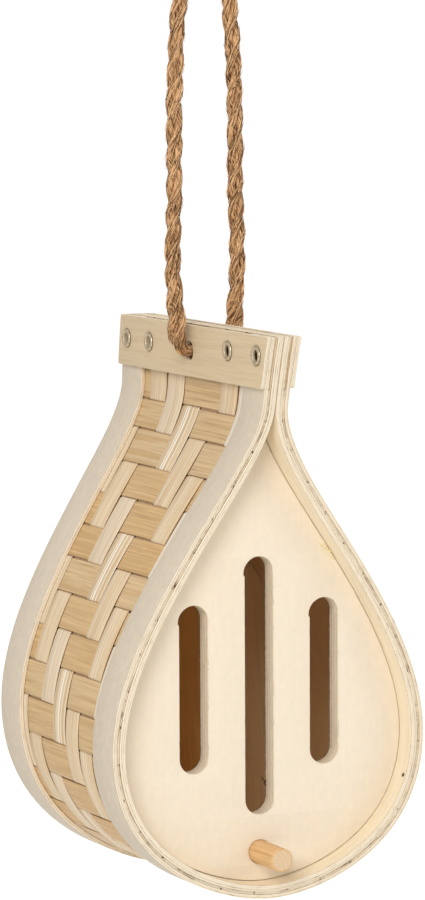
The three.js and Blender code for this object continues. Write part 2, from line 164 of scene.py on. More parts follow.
class Colours(bpy.types.PropertyGroup):
    board: colour("Board", "Plywood face of the front and back", 240, 225, 202)
    band: colour("Band", "Outer face of the edge bands", 219, 204, 182)
    edge_light: colour("Light plies", "Edges of the plies that run along", 246, 233, 210)
    edge_dark: colour("Dark plies", "Edges of the plies that end there", 234, 216, 186)
    liner: colour("Liner", "Inner face of the shell near the front", 240, 225, 197)
    chamber: colour("Chamber", "Faces inside the chamber", 254, 220, 170)
    behind: colour("Behind the splints", "Outer face of the shell", 122, 88, 54)
    weft: colour("Cross splints", "Bamboo, front to back", 211, 179, 132)
    warp: colour("Long splints", "Bamboo, round the body", 226, 203, 168)
    dowel: colour("Dowel", "The perch", 225, 184, 132)
    bar: colour("Bars", "Clamp bars", 216, 194, 159)
    steel: colour("Steel", "Rivets", 184, 168, 142)
    jute: colour("Jute", "Rope", 199, 153, 106)
    # Painted shade: the shell's outer face is painted this dark brown as the shade in the gaps
    # between the splints; other dark marks are mixed from it
    glue: colour("Glue", "Dried crumbs of glue", 238, 222, 166)
    stage: colour("Stage", "Floor", 247, 247, 246)


# Materials

class Nodes:
    """A node tree under construction: each method adds nodes and gives their output."""

    def __init__(self, tree):
        self.tree = tree
        tree.nodes.clear()

    def node(self, kind, **settings):
        node = self.tree.nodes.new("ShaderNode" + kind)
        for name, value in settings.items():
            setattr(node, name, value)
        return node

    def put(self, socket, value):
        if isinstance(value, bpy.types.NodeSocket):
            self.tree.links.new(value, socket)
        elif hasattr(value, "__len__") and len(value) == 3 and len(socket.default_value) == 4:
            socket.default_value = (*value, 1.0)
        else:
            socket.default_value = value

    def maths(self, kind, *values):
        node = self.node("Math", operation=kind)
        for socket, value in zip(node.inputs, values):
            self.put(socket, value)
        return node.outputs[0]

    def times(self, first, second):
        return self.maths("MULTIPLY", first, second)

    def total(self, start, *terms):
        """A start plus values, each times its weight."""
        for value, weight in terms:
            start = self.maths("ADD", start, self.times(value, weight))
        return start

    def seen_directly(self):
        """1 for rays from the camera, off shiny faces or through clear ones."""
        rays = self.node("LightPath").outputs
        seen = self.maths("MAXIMUM", rays["Is Camera Ray"], rays["Is Glossy Ray"])
        return self.maths("MAXIMUM", seen, rays["Is Transmission Ray"])


class Finish(Nodes):
    """A material under construction."""

    def __init__(self, name):
        self.material = bpy.data.materials.new(name)
        self.material.use_nodes = True
        super().__init__(self.material.node_tree)
        self.shader = self.node("BsdfPrincipled")
        self.put(self.node("OutputMaterial").inputs["Surface"], self.shader.outputs["BSDF"])

    def surface(self, **sockets):
        for name, value in sockets.items():
            self.put(self.shader.inputs[name.replace("_", " ")], value)

    def stored(self, name, kind="Fac"):
        """What the mesh stores under a name at each of its points."""
        return self.node("Attribute", attribute_name=name).outputs[kind]

    def grain(self):
        """Along the grain, across it and through the thickness, in metres."""
        node = self.node("SeparateXYZ")
        self.put(node.inputs[0], self.stored("grain", "Vector"))
        return tuple(node.outputs)

    def noise(self, places, scales, detail=3.0, roughness=0.55, distortion=0.0):
        """Noise over three places, each stretched by its scale, or all by one."""
        point = self.node("CombineXYZ")
        for socket, place, scale in zip(point.inputs, places, np.full(3, scales, float).tolist()):
            self.put(socket, place if scale == 1.0 else self.times(place, scale))
        node = self.node("TexNoise")
        values = (point.outputs[0], 1.0, detail, roughness, distortion)
        for name, value in zip(("Vector", "Scale", "Detail", "Roughness", "Distortion"), values):
            self.put(node.inputs[name], value)
        return node.outputs["Fac"]

    def step(self, value, low, high, top=1.0):
        """0 on low's side, top on high's side."""
        node = self.node("MapRange", interpolation_type="SMOOTHSTEP")
        names = ("Value", "From Min", "From Max", "To Max")
        for name, number in zip(names, (value, low, high, top)):
            self.put(node.inputs[name], number)
        return node.outputs["Result"]

    def mix(self, share, first, second, kind="MIX"):
        node = self.node("Mix", data_type="RGBA", blend_type=kind)
        for index, value in ((0, share), (6, first), (7, second)):
            self.put(node.inputs[index], value)
        return node.outputs[2]

    def stained(self, tone, base, *stains):
        """The tone with stains laid over it in turn. Each has a value, the value where it starts,
        the one where it is full, its strength there, and its colour as shares of the base's."""
        for value, start, full, strength, shares in stains:
            tone = self.mix(self.step(value, start, full, strength), tone, toned(base, *shares))
        return tone

    def distance(self, first, second):
        return self.maths("SQRT", self.total(0.0, (first, first), (second, second)))

    def spot(self, first, second, place, radius):
        """1 inside a small round mark at a place on a surface."""
        one, two = (self.maths("SUBTRACT", value, at) for value, at in zip((first, second), place))
        return self.step(self.distance(one, two), 1.25 * radius, 0.75 * radius)

    def bump(self, distance, height):
        node = self.node("Bump")
        for name, value in (("Distance", distance), ("Strength", 1.0), ("Height", height)):
            self.put(node.inputs[name], value)
        self.surface(Normal=node.outputs["Normal"])


def toned(colour, red, green, blue):
    """A colour with its red, green and blue each taken times a share."""
    return tuple(min(1.0, channel * k) for channel, k in zip(colour, (red, green, blue)))


# How strongly bare wood shines
WOOD_SHEEN = 0.3


def wood(name, base, fibre=0.5, band=0.5, pores=0.35, rough=0.62, relief=0.00006, spread=0.0,
         mottle=0.0, stripes=None, shade=None):
    """Bare wood: fine fibres, wide growth bands, small dark pores, slow drift in tone."""
    f = Finish(name)
    grain = along, across, deep = f.grain()
    tint = f.stored("tint")
    shifted = f.total(f.times(along, 28.0), (tint, 91.0))
    wide = f.total(f.times(along, 7.0), (tint, 37.0))
    fibres = f.noise((shifted, across, deep), (1.0, 1100.0, 1100.0), 4.0, 0.62)
    threads = f.noise((shifted, across, deep), (0.5, 440.0, 500.0), 2.0, 0.5)
    bands = f.noise((wide, across, deep), (1.0, 150.0, 150.0), 3.0, 0.5, 0.6)
    drift = f.noise((along, across, tint), (22.0, 22.0, 50.0), 2.0, 0.5)
    pits = f.noise((shifted, across, deep), (6.0, 2200.0, 2200.0), 1.0, 0.4)
    tone = f.stained(
        base, base,
        (tint, 0.45, 1.0, spread, (1.05, 1.13, 1.32)),
        (tint, 0.55, 0.0, spread, (0.96, 0.87, 0.74)),
        (fibres, 0.52, 0.3, fibre, (0.62, 0.53, 0.42)),
        (fibres, 0.52, 0.72, fibre, (1.22, 1.22, 1.24)),
        (threads, 0.5, 0.66, 0.8 * fibre, (0.8, 0.72, 0.6)),
        (bands, 0.45, 0.68, 0.7 * band, (0.93, 0.88, 0.8)),
        (drift, 0.35, 0.7, 0.3, (1.03, 1.01, 0.97)),
    )
    if mottle:
        patch = f.noise((along, across, 0.7), (240.0, 330.0, 1.0), 4.0, 0.7)
        tone = f.stained(tone, base, (patch, 0.36, 0.64, mottle, (0.84, 0.86, 0.9)))
    tone = f.stained(tone, base, (pits, 0.69, 0.76, pores, (0.42, 0.31, 0.2)))
    if stripes is not None:
        ribs = f.noise((shifted, across, 3.7), (0.05, 900.0, 1.0), 1.0, 0.5)
        share = f.stored("stripe")
        tone = f.mix(f.step(ribs, 0.5, 0.6, f.times(share, 0.85)), tone, stripes)
        shadow = (ribs, 0.44, 0.36, f.times(share, 0.6), (0.72, 0.62, 0.5))
        tone = f.stained(tone, base, shadow)
    # Painted shade: dark brown where a splint dives under the others, which shows in the gaps
    # between splints
    tone = f.stained(tone, base, (f.stored("dive"), 0.3, 0.9, 0.8, (0.42, 0.28, 0.15)))
    if shade is not None:
        tone = shade(f, tone)
    wear = f.noise(grain, 60.0, 2.0)
    f.surface(Base_Color=tone, Specular_IOR_Level=WOOD_SHEEN)
    f.surface(Roughness=f.total(rough - 0.08, (wear, 0.12), (fibres, 0.08)))
    f.bump(relief, f.total(fibres, (f.step(pits, 0.69, 0.76), -0.5)))
    return f.material


def ply_edge(name, light, dark, wall, plies, voids=0.55, first=0.0, torn=None):
    """The edge of plywood: light plies run along it, darker plies end at it, with broken dark glue
    lines. Deeper than torn it is dark and ragged, as where a cutter comes out."""
    f = Finish(name)
    grain = along, across, deep = f.grain()
    run = f.total(f.times(along, 45.0), (across, 45.0))
    waver = f.noise((run, 4.1, 1.3), 1.0, 2.0)
    layer = f.total(-0.05 - first * plies / wall, (deep, plies / wall), (waver, 0.1))
    ends = f.step(f.maths("PINGPONG", layer, 1.0), 0.42, 0.58)
    glue = f.step(f.maths("PINGPONG", layer, 0.5), 0.12, 0.05)
    streaks = f.noise((run, deep, 2.1), (2.0, 3600.0, 1.0), 3.0, 0.6)
    specks = f.noise(grain, 1500.0, 2.0, 0.6)
    broken = f.noise((along, across, layer), (130.0, 130.0, 0.7), 4.0, 0.7)
    pale = toned(light, 0.93, 0.9, 0.86), toned(light, 1.03, 1.03, 1.04)
    brown = toned(dark, 0.86, 0.8, 0.72), toned(dark, 1.08, 1.08, 1.08)
    line = f.times(glue, f.maths("ADD", 0.35, f.step(broken, 0.5, 0.62, 0.65)))
    gaps = f.times(f.step(broken, 0.66, 0.7, voids), ends)
    tone = f.mix(
        f.times(ends, 0.7),
        f.mix(f.step(streaks, 0.3, 0.7), *pale),
        f.mix(f.step(specks, 0.35, 0.68), *brown),
    )
    for share in (f.times(line, voids), gaps):
        tone = f.mix(share, tone, toned(dark, 0.22, 0.15, 0.09))
    if torn is not None:
        ragged = f.noise((along, across, 2.9), (650.0, 650.0, 1.0), 3.0, 0.7)
        burr = f.total(deep, (ragged, 0.0012))
        tone = f.stained(tone, dark, (burr, torn, torn + 0.0003, 0.9, (0.13, 0.07, 0.03)))
    f.surface(Base_Color=tone, Specular_IOR_Level=WOOD_SHEEN)
    f.surface(Roughness=f.total(0.66, (specks, 0.16)))
    f.bump(0.00015, f.total(f.times(streaks, 0.3), (specks, 0.4), (gaps, -1.0), (line, -1.0)))
    return f.material


def steel(name, base, seat, bore, lit):
    """Worn plated steel: drawn lines round the head and random dirt, a painted contact shadow where
    the head meets the wood, and a bore painted light to a depth and painted dark beyond it."""
    f = Finish(name)
    grain = along, across, reach = f.grain()
    away = f.maths("ABSOLUTE", along)
    drawn = f.noise((reach, across, along), (9000.0, 150.0, 9000.0), 2.0)
    dirt = f.noise(grain, 900.0, 3.0, 0.6)
    low = f.step(away, seat + 0.0004, seat + 0.00015)
    # Painted contact shadow: a dark ring round the foot of the head, where it meets the wood
    foot = f.times(low, f.step(reach, bore + 0.0006, bore + 0.0012))
    inside = f.step(reach, bore + 0.0002, bore + 0.00005)
    # Painted light and shade in the bore: light from the mouth to a depth, dark beyond it
    mouth = f.step(away, seat - lit - 0.0003, seat - lit + 0.0003)
    tone = f.stained(base, base, (dirt, 0.4, 0.7, 1.0, (0.66, 0.58, 0.46)))
    tone = f.mix(foot, tone, toned(base, 0.12, 0.09, 0.06))
    painted_bore_light_and_shade = f.mix(mouth, toned(base, 0.1, 0.07, 0.04), toned(base, 1.3, 1.3, 1.3))
    tone = f.mix(inside, tone, painted_bore_light_and_shade)
    f.surface(Base_Color=tone, Metallic=f.total(1.0, (f.maths("MAXIMUM", foot, inside), -0.8)))
    f.surface(Roughness=f.total(0.26, (drawn, 0.12), (dirt, 0.12)))
    f.bump(0.00004, f.total(f.times(drawn, 0.4), (dirt, 0.6)))
    return f.material


def jute(name, base):
    """Laid plant fibre: light and dark fibres along each yarn, and painted deep shade in the
    grooves between the yarns.
    """
    f = Finish(name)
    along, round_, deep = f.grain()
    tint = f.stored("tint")
    run = f.total(f.times(along, 110.0), (tint, 61.0))
    fibres = f.noise((run, round_, tint), (1.0, 1700.0, 17.0), 3.0, 0.6)
    tufts = f.noise((along, round_, 5.1), (260.0, 420.0, 1.0), 2.0, 0.6)
    tone = f.stained(
        base, base,
        (fibres, 0.52, 0.41, 1.0, (0.14, 0.1, 0.07)),
        (fibres, 0.53, 0.62, 1.0, (1.52, 1.68, 1.9)),
        (tufts, 0.5, 0.75, 0.35, (0.6, 0.42, 0.26)),
        # Painted shade in the grooves between the yarns
        (deep, -0.00001, -0.0001, 1.0, (0.2, 0.12, 0.08)),
        (tint, 0.62, 0.7, 0.85, (1.5, 1.7, 1.95)),
        (tint, 0.38, 0.3, 0.85, (0.16, 0.1, 0.07)),
    )
    f.surface(Base_Color=tone, Roughness=f.total(0.7, (fibres, 0.2)), Specular_IOR_Level=0.25)
    f.bump(0.0006, f.total(fibres, (tufts, 0.5)))
    return f.material


def dried_glue(name, base):
    """Dried glue: lumpy, yellowish and a little shiny."""
    f = Finish(name)
    lumps = f.noise(f.grain(), 1500.0)
    tone = f.mix(lumps, toned(base, 0.8, 0.74, 0.6), base)
    f.surface(Base_Color=tone, Roughness=f.total(0.3, (lumps, 0.3)))
    f.bump(0.0001, lumps)
    return f.material


# The body's shape

# Points along each curve of its outline
OUTLINE_STEPS = 1500


class Body:
    """The teardrop body in its own frame: x across, y back from the front edge and z up from the
    bottom."""

    def __init__(self, scene):
        self.sizes = scene.house_body
        self.weave = scene.house_weave
        self.boards = scene.house_boards
        self.neck = scene.house_neck
        self.rope = scene.house_rope
        s = self.sizes
        self.over = s.rim_wall + s.layer_gap
        self.under = self.over + s.splint_wall + s.layer_gap
        self.shell = self.under + s.splint_wall + s.layer_gap
        self.inner = self.shell + s.shell_wall
        self.neck_half = self.inner + s.seam_gap / 2
        self.bar_inner = self.neck_half + s.layer_gap
        self.bar_outer = self.bar_inner + self.neck.bar_wall
        self.bore_height = s.height - self.neck.bar_height / 2
        self.measure_outline()
        self.half = self.run[-1]
        saved = 2 * self.weave.narrow_rows * (1 - self.weave.narrow_share)
        self.row_pitch = 2 * (self.half - self.neck.bar_height) / (self.weave.rows - saved)
        ends = [self.leaned(y, self.bore_height) for y in (0.0, s.foot_depth)]
        self.rope_place = sum(ends) / 2

    def measure_outline(self):
        """Points, headings and lengths along the right half of the outline, from the bottom up."""
        s = self.sizes
        half = s.width / 2
        neck_foot = s.height - s.neck_height
        rise = neck_foot - s.belly_height
        belly, first, second, third, fourth = (half, s.belly_height), *s.handles
        low = [(0, 0), (half * first, 0), (half, s.belly_height * (1 - second)), belly]
        high = [
            belly,
            (half, s.belly_height + rise * third),
            (self.neck_half, neck_foot - rise * fourth),
            (self.neck_half, neck_foot),
        ]
        t = np.linspace(0, 1, OUTLINE_STEPS)[:, None]
        points, headings = [], []
        for curve in (low, high):
            a, b, c, d = (np.array(p, float) for p in curve)
            u = 1 - t
            points.append(u**3 * a + 3 * u**2 * t * b + 3 * u * t**2 * c + t**3 * d)
            headings.append(3 * u**2 * (b - a) + 6 * u * t * (c - b) + 3 * t**2 * (d - c))
        points.append(np.array([[self.neck_half, s.height]]))
        headings.append(np.array([[0.0, 1.0]]))
        self.points = np.concatenate(points)
        self.headings = np.concatenate(headings)
        self.headings /= np.linalg.norm(self.headings, axis=1)[:, None]
        steps = np.linalg.norm(np.diff(self.points, axis=0), axis=1)
        self.run = np.concatenate([[0.0], np.cumsum(steps)])

    def outline(self, along, sunk):
        """x and z of points at distances along the outline, left ones negative, and sunk below the
        outer face."""
        along, sunk = np.broadcast_arrays(np.asarray(along, float), np.asarray(sunk, float))
        side = np.where(along < 0, -1.0, 1.0)
        place = np.minimum(np.abs(along), self.half)
        px, pz = (np.interp(place, self.run, self.points[:, k]) for k in (0, 1))
        tx, tz = (np.interp(place, self.run, self.headings[:, k]) for k in (0, 1))
        return side * (px - tz * sunk), pz + tx * sunk

    def station(self, height):
        """How far along the outline it reaches a height."""
        return float(np.interp(height, self.points[:, 1], self.run))

    def deepened(self, y, z):
        """How far back a place is, as the body grows deeper towards its neck."""
        s = self.sizes
        share = np.clip((y - s.rim_depth) / (s.foot_depth - 2 * s.rim_depth), 0, 1)
        return y + share * (s.neck_depth - s.foot_depth) * (z / s.height)

    def leaned(self, y, z):
        """The same, with the neck's lean."""
        s = self.sizes
        share = np.maximum(0, z - s.lean_foot) / (s.height - s.lean_foot)
        return self.deepened(y, z) - s.neck_lean * share * share

    def place(self, x, y, z):
        """Points of the body's frame in the frame of the whole model."""
        x, y, z = np.broadcast_arrays(*(np.asarray(part, float) for part in (x, y, z)))
        return np.stack([x, y - self.rope_place, z - self.bore_height - self.rope.hang], -1)

    def wrapped(self, along, y, sunk):
        """Points at distances along the outline, back from the front edge and sunk."""
        x, z = self.outline(along, sunk)
        return self.place(x, self.leaned(y, z), z).reshape(-1, 3)

    def rows(self):
        """Number, start and end of each cross splint, along the outline."""
        edge = self.weave.gap / 2
        bar_foot = self.half - self.neck.bar_height
        rows = [(-1, -self.half + edge, -bar_foot - edge)]
        start = -bar_foot
        for row in range(self.weave.rows):
            from_end = min(row, self.weave.rows - 1 - row)
            narrow = from_end < self.weave.narrow_rows
            pitch = self.row_pitch * (self.weave.narrow_share if narrow else 1)
            rows.append((row, start + edge, start + pitch - edge))
            start += pitch
        rows.append((self.weave.rows, bar_foot + edge, self.half - edge))
        return rows

    def columns(self):
        """Number, front and back of each long splint, the last one in front."""
        w, depth = self.weave, self.sizes.foot_depth
        columns = []
        for column in range(w.columns):
            start = w.column_start + (column - 1) * w.column_pitch
            back = w.setback if column == 0 else start + w.gap / 2
            last = column == w.columns - 1
            front = depth - w.setback if last else start + w.column_pitch - w.gap / 2
            columns.append((column - 1, depth - front, depth - back))
        return columns

    def rivet_places(self):
        """Back and up places of the rivets, front ones first."""
        n, depth = self.neck, self.sizes.foot_depth
        front, back = self.bore_height + n.front_rise, self.bore_height + n.back_rise
        places = [
            (n.rivet_setback, front),
            (n.rivet_setback + n.front_pair, front),
            (depth - n.rivet_setback - n.back_pair, back),
            (depth - n.rivet_setback, back),
        ]
        return [(float(self.leaned(y, z)), z) for y, z in places]

    def bores(self):
        """Back and up place and radius of each hole in the neck: the rivets', then the rope's."""
        n = self.neck
        hole = n.rivet_tube / 2 + n.rivet_clearance
        rope = (self.rope_place, self.bore_height, self.rope.diameter / 2 + n.rope_clearance)
        return [(*place, hole) for place in self.rivet_places()] + [rope]


def cross_splint_floats(row, column):
    """In this twill a cross splint floats over two long splints and dives under two."""
    return (column - row + 1) % 4 < 2


# Meshes

# Degrees between faces above which an edge stays crisp
CRISP, CRISP_SPLINT, CRISP_RIVET, CRISP_SOFT = 35.0, 50.0, 60.0, 80.0
# Longest steps between points round the body, and along the cross splints
SHELL_STEP, BAND_STEP, LONG_STEP, CROSS_STEP = 0.0035, 0.0022, 0.004, 0.0045
# Rounding of the edges of the boards and the clamp bars
BOARD_EASE, BAR_EASE = 0.0003, 0.00025
# Points round the bores, the perch, the rivets and the floor
BORE_SIDES, PERCH_SIDES, RIVET_SIDES, FLOOR_SIDES = 32, 48, 40, 64


def finished(name, mesh, materials, body, sharp=CRISP):
    """Turns a mesh into a piece: smooth faces with crisp edges, its materials and its body."""
    mesh.name = name
    for material in materials:
        mesh.materials.append(material)
    mesh.polygons.foreach_set("use_smooth", [True] * len(mesh.polygons))
    mesh.set_sharp_from_angle(angle=math.radians(sharp))
    piece = bpy.data.objects.new(name, mesh)
    bpy.context.scene.collection.objects.link(piece)
    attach(piece, body)
    return piece


def skin(points, grain, faces, kinds=None, **floats):
    """A mesh with its faces turned outward, its grain directions and some numbers stored on it:
    its tint, and for a splint its share of pale stripes and how far it has dived under others."""
    mesh = bpy.data.meshes.new("skin")
    mesh.from_pydata(np.asarray(points).tolist(), [], faces)
    if kinds is not None:
        mesh.polygons.foreach_set("material_index", kinds)
    store = mesh.attributes.new("grain", "FLOAT_VECTOR", "POINT")
    store.data.foreach_set("vector", np.asarray(grain, np.float32).ravel())
    for name, values in {"tint": 0.5, **floats}.items():
        numbers = np.array(np.broadcast_to(values, len(points)), np.float32)
        mesh.attributes.new(name, "FLOAT", "POINT").data.foreach_set("value", numbers)
    work = bmesh.new()
    work.from_mesh(mesh)
    bmesh.ops.recalc_face_normals(work, faces=work.faces)
    work.to_mesh(mesh)
    work.free()
    mesh.update()
    return mesh


def stacked(*parts):
    """Three arrays that fit each other, as rows of three numbers."""
    return np.stack(np.broadcast_arrays(*parts), -1).reshape(-1, 3)


def circle_loop(x, y, radius, sides=40):
    angles = [2 * math.pi * k / sides for k in range(sides)]
    return [(x + radius * math.cos(angle), y + radius * math.sin(angle)) for angle in angles]


def tube_faces(rings, sides, first=0, closed=False):
    """Faces of a skin through rings of equally many points, which are numbered from the first. It
    has a face at each end, or it is closed from the last ring to the first."""
    faces = []
    for ring in range(rings if closed else rings - 1):
        here, after = first + ring * sides, first + (ring + 1) % rings * sides
        for side in range(sides):
            turn = (side + 1) % sides
            faces.append((here + side, here + turn, after + turn, after + side))
    if not closed:
        faces.append(tuple(range(first, first + sides))[::-1])
        faces.append(tuple(range(first + (rings - 1) * sides, first + rings * sides)))
    return faces


def eased_profile(low, high, near, far, ease, extra=()):
    """A rectangle from low to high and near to far with rounded corners, in order round it.
    The second list says which sides of it are faces (0) and which are edges (1)."""
    quarter = math.pi / 2
    corners = [
        (high - ease, near + ease, -quarter), (high - ease, far - ease, 0.0),
        (low + ease, far - ease, quarter), (low + ease, near + ease, math.pi),
    ]
    points, kinds = [], []
    for index, (u, v, start) in enumerate(corners):
        for angle in (start, start + quarter / 2, start + quarter):
            points.append((u + ease * math.cos(angle), v + ease * math.sin(angle)))
        kinds += [1, 1, 1 - index % 2]
        if index % 2:
            between = [e for e in extra if low + ease < e < high - ease]
            for e in sorted(between, reverse=index == 1):
                points.append((e, far if index == 1 else near))
                kinds.append(0)
    return points, kinds


def wandering(seed, reach):
    """A slow wave of its own for each seed, as a function of a distance."""
    dice = random.Random(seed)
    waves = [
        (dice.uniform(20, 45) * (k + 1), dice.uniform(0, 6.283), dice.uniform(0.3, 1))
        for k in range(3)
    ]
    total = sum(size for _, _, size in waves)

    def wave(distance):
        swings = (size * np.sin(pace * distance + start) for pace, start, size in waves)
        return reach * sum(swings) / total

    return wave


def band_mesh(body, stations, low, high, near, far, extra=(), tint=0.5):
    """A strip of plywood that follows the body's outline."""
    profile, kinds = eased_profile(low, high, near, far, body.sizes.ease, extra)
    y, sunk = np.array(profile).T
    along = np.asarray(stations)[:, None]
    faces = tube_faces(len(stations), len(profile))
    kinds = kinds * (len(stations) - 1) + [1, 1]
    return drilled(
        skin(body.wrapped(along, y, sunk), stacked(along, y, sunk), faces, kinds, tint=tint), body
    )


def even_stations(body, most):
    """Evenly spaced stations along the whole outline."""
    return np.linspace(-body.half, body.half, int(2 * body.half / most) + 1)


def drilled(mesh, body):
    """The mesh with the bores of the neck cut through it."""
    piece = bpy.data.objects.new("blank", mesh)
    cutter = bpy.data.objects.new("bores", bore_cutter(body))
    for thing in (piece, cutter):
        bpy.context.scene.collection.objects.link(thing)
    cut = piece.modifiers.new("bores", "BOOLEAN")
    cut.object = cutter
    cut.operation = "DIFFERENCE"
    cut.solver = "MANIFOLD"
    graph = bpy.context.evaluated_depsgraph_get()
    ready = piece.evaluated_get(graph)
    result = bpy.data.meshes.new_from_object(ready, preserve_all_data_layers=True, depsgraph=graph)
    for thing in (piece, cutter):
        bpy.data.objects.remove(thing)
    if not result.polygons:
        raise RuntimeError("nothing is left of a piece after its bores are cut")
    kinds = np.zeros(len(result.polygons), np.int32)
    result.polygons.foreach_get("material_index", kinds)
    result.materials.clear()
    result.polygons.foreach_set("material_index", kinds)
    return result


def bore_cutter(body):
    """The four rivet holes and the rope hole through the neck, as one mesh to cut with."""
    points, faces = [], []
    reach = 1.6 * body.bar_outer
    for y, z, radius in body.bores():
        faces += tube_faces(2, BORE_SIDES, len(points))
        ring = circle_loop(y, z, radius, BORE_SIDES)
        points += [body.place(x, *at) for x in (-reach, reach) for at in ring]
    return skin(points, np.zeros((len(points), 3)), faces)


def level_curve(knots, at):
    """A height that eases from level to level: knots are (place, level) pairs, flat between equal
    levels."""
    places, levels = np.array(knots).T
    index = np.clip(np.searchsorted(places, at, side="right") - 1, 0, len(places) - 2)
    share = (at - places[index]) / np.maximum(places[index + 1] - places[index], 1e-12)
    share = np.clip(share, 0, 1)
    share = share * share * (3 - 2 * share)
    return levels[index] + (levels[index + 1] - levels[index]) * share


def woven_run(spans, levels, ramp, most, bulge):
    """Stations and heights of a splint over its crossings. Each float that stands proud has a
    bulge."""
    knots = [(spans[0][0], levels[0])]
    for i in range(1, len(spans)):
        if levels[i] != levels[i - 1]:
            knots += [(spans[i - 1][1] - ramp, levels[i - 1]), (spans[i][0] + ramp, levels[i])]
    knots.append((spans[-1][1], levels[-1]))
    stations = set()
    for (a, la), (b, lb) in zip(knots, knots[1:]):
        count = 8 if la != lb else max(2, math.ceil((b - a) / most))
        stations.update(np.linspace(a, b, count + 1).tolist())
    stations = np.array(sorted(stations))
    heights = level_curve(knots, stations)
    proud = min(levels)
    for (a, la), (b, lb) in zip(knots, knots[1:]):
        if la == lb == proud and max(levels) != proud:
            inside = (stations > a) & (stations < b)
            at = stations[inside]
            heights[inside] -= bulge(at) * np.sin(np.pi * (at - a) / (b - a))
    return stations, heights


# Rounding of the splints' edges, and parts across a cross splint, which has to follow the body
SPLINT_EASE = 0.00012
CROSS_PARTS = 7


def splint_profile(cuts, width, wall):
    """A thin strip's section: its points across it at the cuts on both faces, and rounded edges."""
    top, bottom = [(cut, 0) for cut in cuts], [(cut, wall) for cut in reversed(cuts)]
    ease, end = SPLINT_EASE, wall - SPLINT_EASE
    return top + [(width, ease), (width, end)] + bottom + [(0, end), (0, ease)]


def splint_mesh(body, seeds, low, high, cuts, run, crosswise, **floats):
    """A splint between two edges that wander a little. The run is its stations and heights. Its
    stations go round the body, or from front to back if it is one of the cross splints."""
    stations, heights = run
    near, far = (wandering(seed, body.weave.wander)(stations)[:, None] for seed in seeds)
    profile = splint_profile(cuts, high - low, body.sizes.splint_wall)
    across, through = np.array(profile).T[:, None]
    side = (low + near) + across / (high - low) * (high + far - low - near)
    run = stations[:, None]
    points = body.wrapped(*((side, run) if crosswise else (run, side)), heights[:, None] + through)
    dive = np.repeat((heights - body.over) / (body.under - body.over), len(profile))
    faces = tube_faces(len(stations), len(profile))
    return skin(points, stacked(run, side, through), faces, None, dive=dive, **floats)


# Pieces

class PieceOperator:
    """What the operators share."""

    bl_options = {"REGISTER", "UNDO"}


# The photo's camera: the place, the directions right, up and back, and the lens
CAMERA_PLACE = (-0.90838, -1.98394, -0.08486)
CAMERA_AXES = (
    (0.90844, -0.41798, -0.00469), (0.04698, 0.09096, 0.99475), (-0.41536, -0.90389, 0.10227),
)
FOCAL_PIXELS = 4663.06
PHOTO_HEIGHT = 900.0
SENSOR = 36.0
CLIP = (0.05, 60.0)


class HOUSE_OT_camera(PieceOperator, bpy.types.Operator):
    """Places the camera in front and to the left, a little above the middle of the house"""

    bl_idname = "house.camera"
    bl_label = "Camera"

    def execute(self, context):
        data = bpy.data.cameras.new("camera")
        data.sensor_fit = "VERTICAL"
        data.sensor_height = data.sensor_width = SENSOR
        data.lens = SENSOR * FOCAL_PIXELS / PHOTO_HEIGHT
        data.clip_start, data.clip_end = CLIP
        camera = bpy.data.objects.new("camera", data)
        turn = Matrix(CAMERA_AXES).transposed().to_4x4()
        camera.matrix_world = Matrix.Translation(CAMERA_PLACE) @ turn
        context.scene.collection.objects.link(camera)
        context.scene.camera = camera
        return {"FINISHED"}


# One strand of the rope from the hole up to the knot, out from the middle and up, in metres
STRAND = (
    (0.0, 0.0), (0.006, 0.0), (0.0106, 0.0003), (0.0134, 0.0028), (0.0145, 0.008), (0.015, 0.015),
    (0.0158, 0.026), (0.0166, 0.04), (0.0164, 0.054), (0.0156, 0.074), (0.0156, 0.098),
    (0.0154, 0.118), (0.0146, 0.14), (0.0128, 0.163), (0.0104, 0.186), (0.0079, 0.206),
    (0.0058, 0.219), (0.0049, 0.2295),
)
# Distances from the rope's middle, and its thickness there as a share of its diameter
GIRTHS = ((0.008, 0.0115, 0.019, 0.026, 0.04), (0.62, 0.62, 1.12, 1.04, 0.89))
# The strand that runs up through the knot: across, back and up from the knot's foot
KNOT_CORE = (
    (0.0042, 0.0, 0.003), (0.0018, 0.0004, 0.008), (0.0004, 0.0006, 0.014), (0.0, 0.0, 0.02),
    (0.0, -0.0004, 0.027), (0.0026, -0.001, 0.0332),
)
# How often the other strand goes round it
KNOT_WRAPS = 2.75
# Distance between points along the rope, and points round each of its three strands
ROPE_STEP = 0.001
STRAND_SIDES = 34
# What the random draws of the rope and of the knot's two strands start from
ROPE_SEED = 11
KNOT_SEEDS = (23, 37)


def smooth_route(points, spacing):
    """A smooth line through points, its own points evenly spaced."""
    points = np.asarray(points, float)
    ends = np.vstack([2 * points[0] - points[1], points, 2 * points[-1] - points[-2]])
    gaps = np.linalg.norm(np.diff(ends, axis=0), axis=1)
    knots = np.concatenate([[0.0], np.cumsum(np.sqrt(gaps))])
    line = []
    for i in range(1, len(ends) - 2):
        t0, t1, t2, t3 = knots[i - 1 : i + 3]
        p0, p1, p2, p3 = ends[i - 1 : i + 3]
        t = np.linspace(t1, t2, 40, endpoint=False)[:, None]
        a1 = (t1 - t) / (t1 - t0) * p0 + (t - t0) / (t1 - t0) * p1
        a2 = (t2 - t) / (t2 - t1) * p1 + (t - t1) / (t2 - t1) * p2
        a3 = (t3 - t) / (t3 - t2) * p2 + (t - t2) / (t3 - t2) * p3
        b1 = (t2 - t) / (t2 - t0) * a1 + (t - t0) / (t2 - t0) * a2
        b2 = (t3 - t) / (t3 - t1) * a2 + (t - t1) / (t3 - t1) * a3
        line.append((t2 - t) / (t2 - t1) * b1 + (t - t1) / (t2 - t1) * b2)
    line = np.vstack([*line, points[-1:]])
    run = np.concatenate([[0.0], np.cumsum(np.linalg.norm(np.diff(line, axis=0), axis=1))])
    even = np.linspace(0, run[-1], max(2, round(run[-1] / spacing)) + 1)
    return np.stack([np.interp(even, run, line[:, k]) for k in range(3)], -1), even


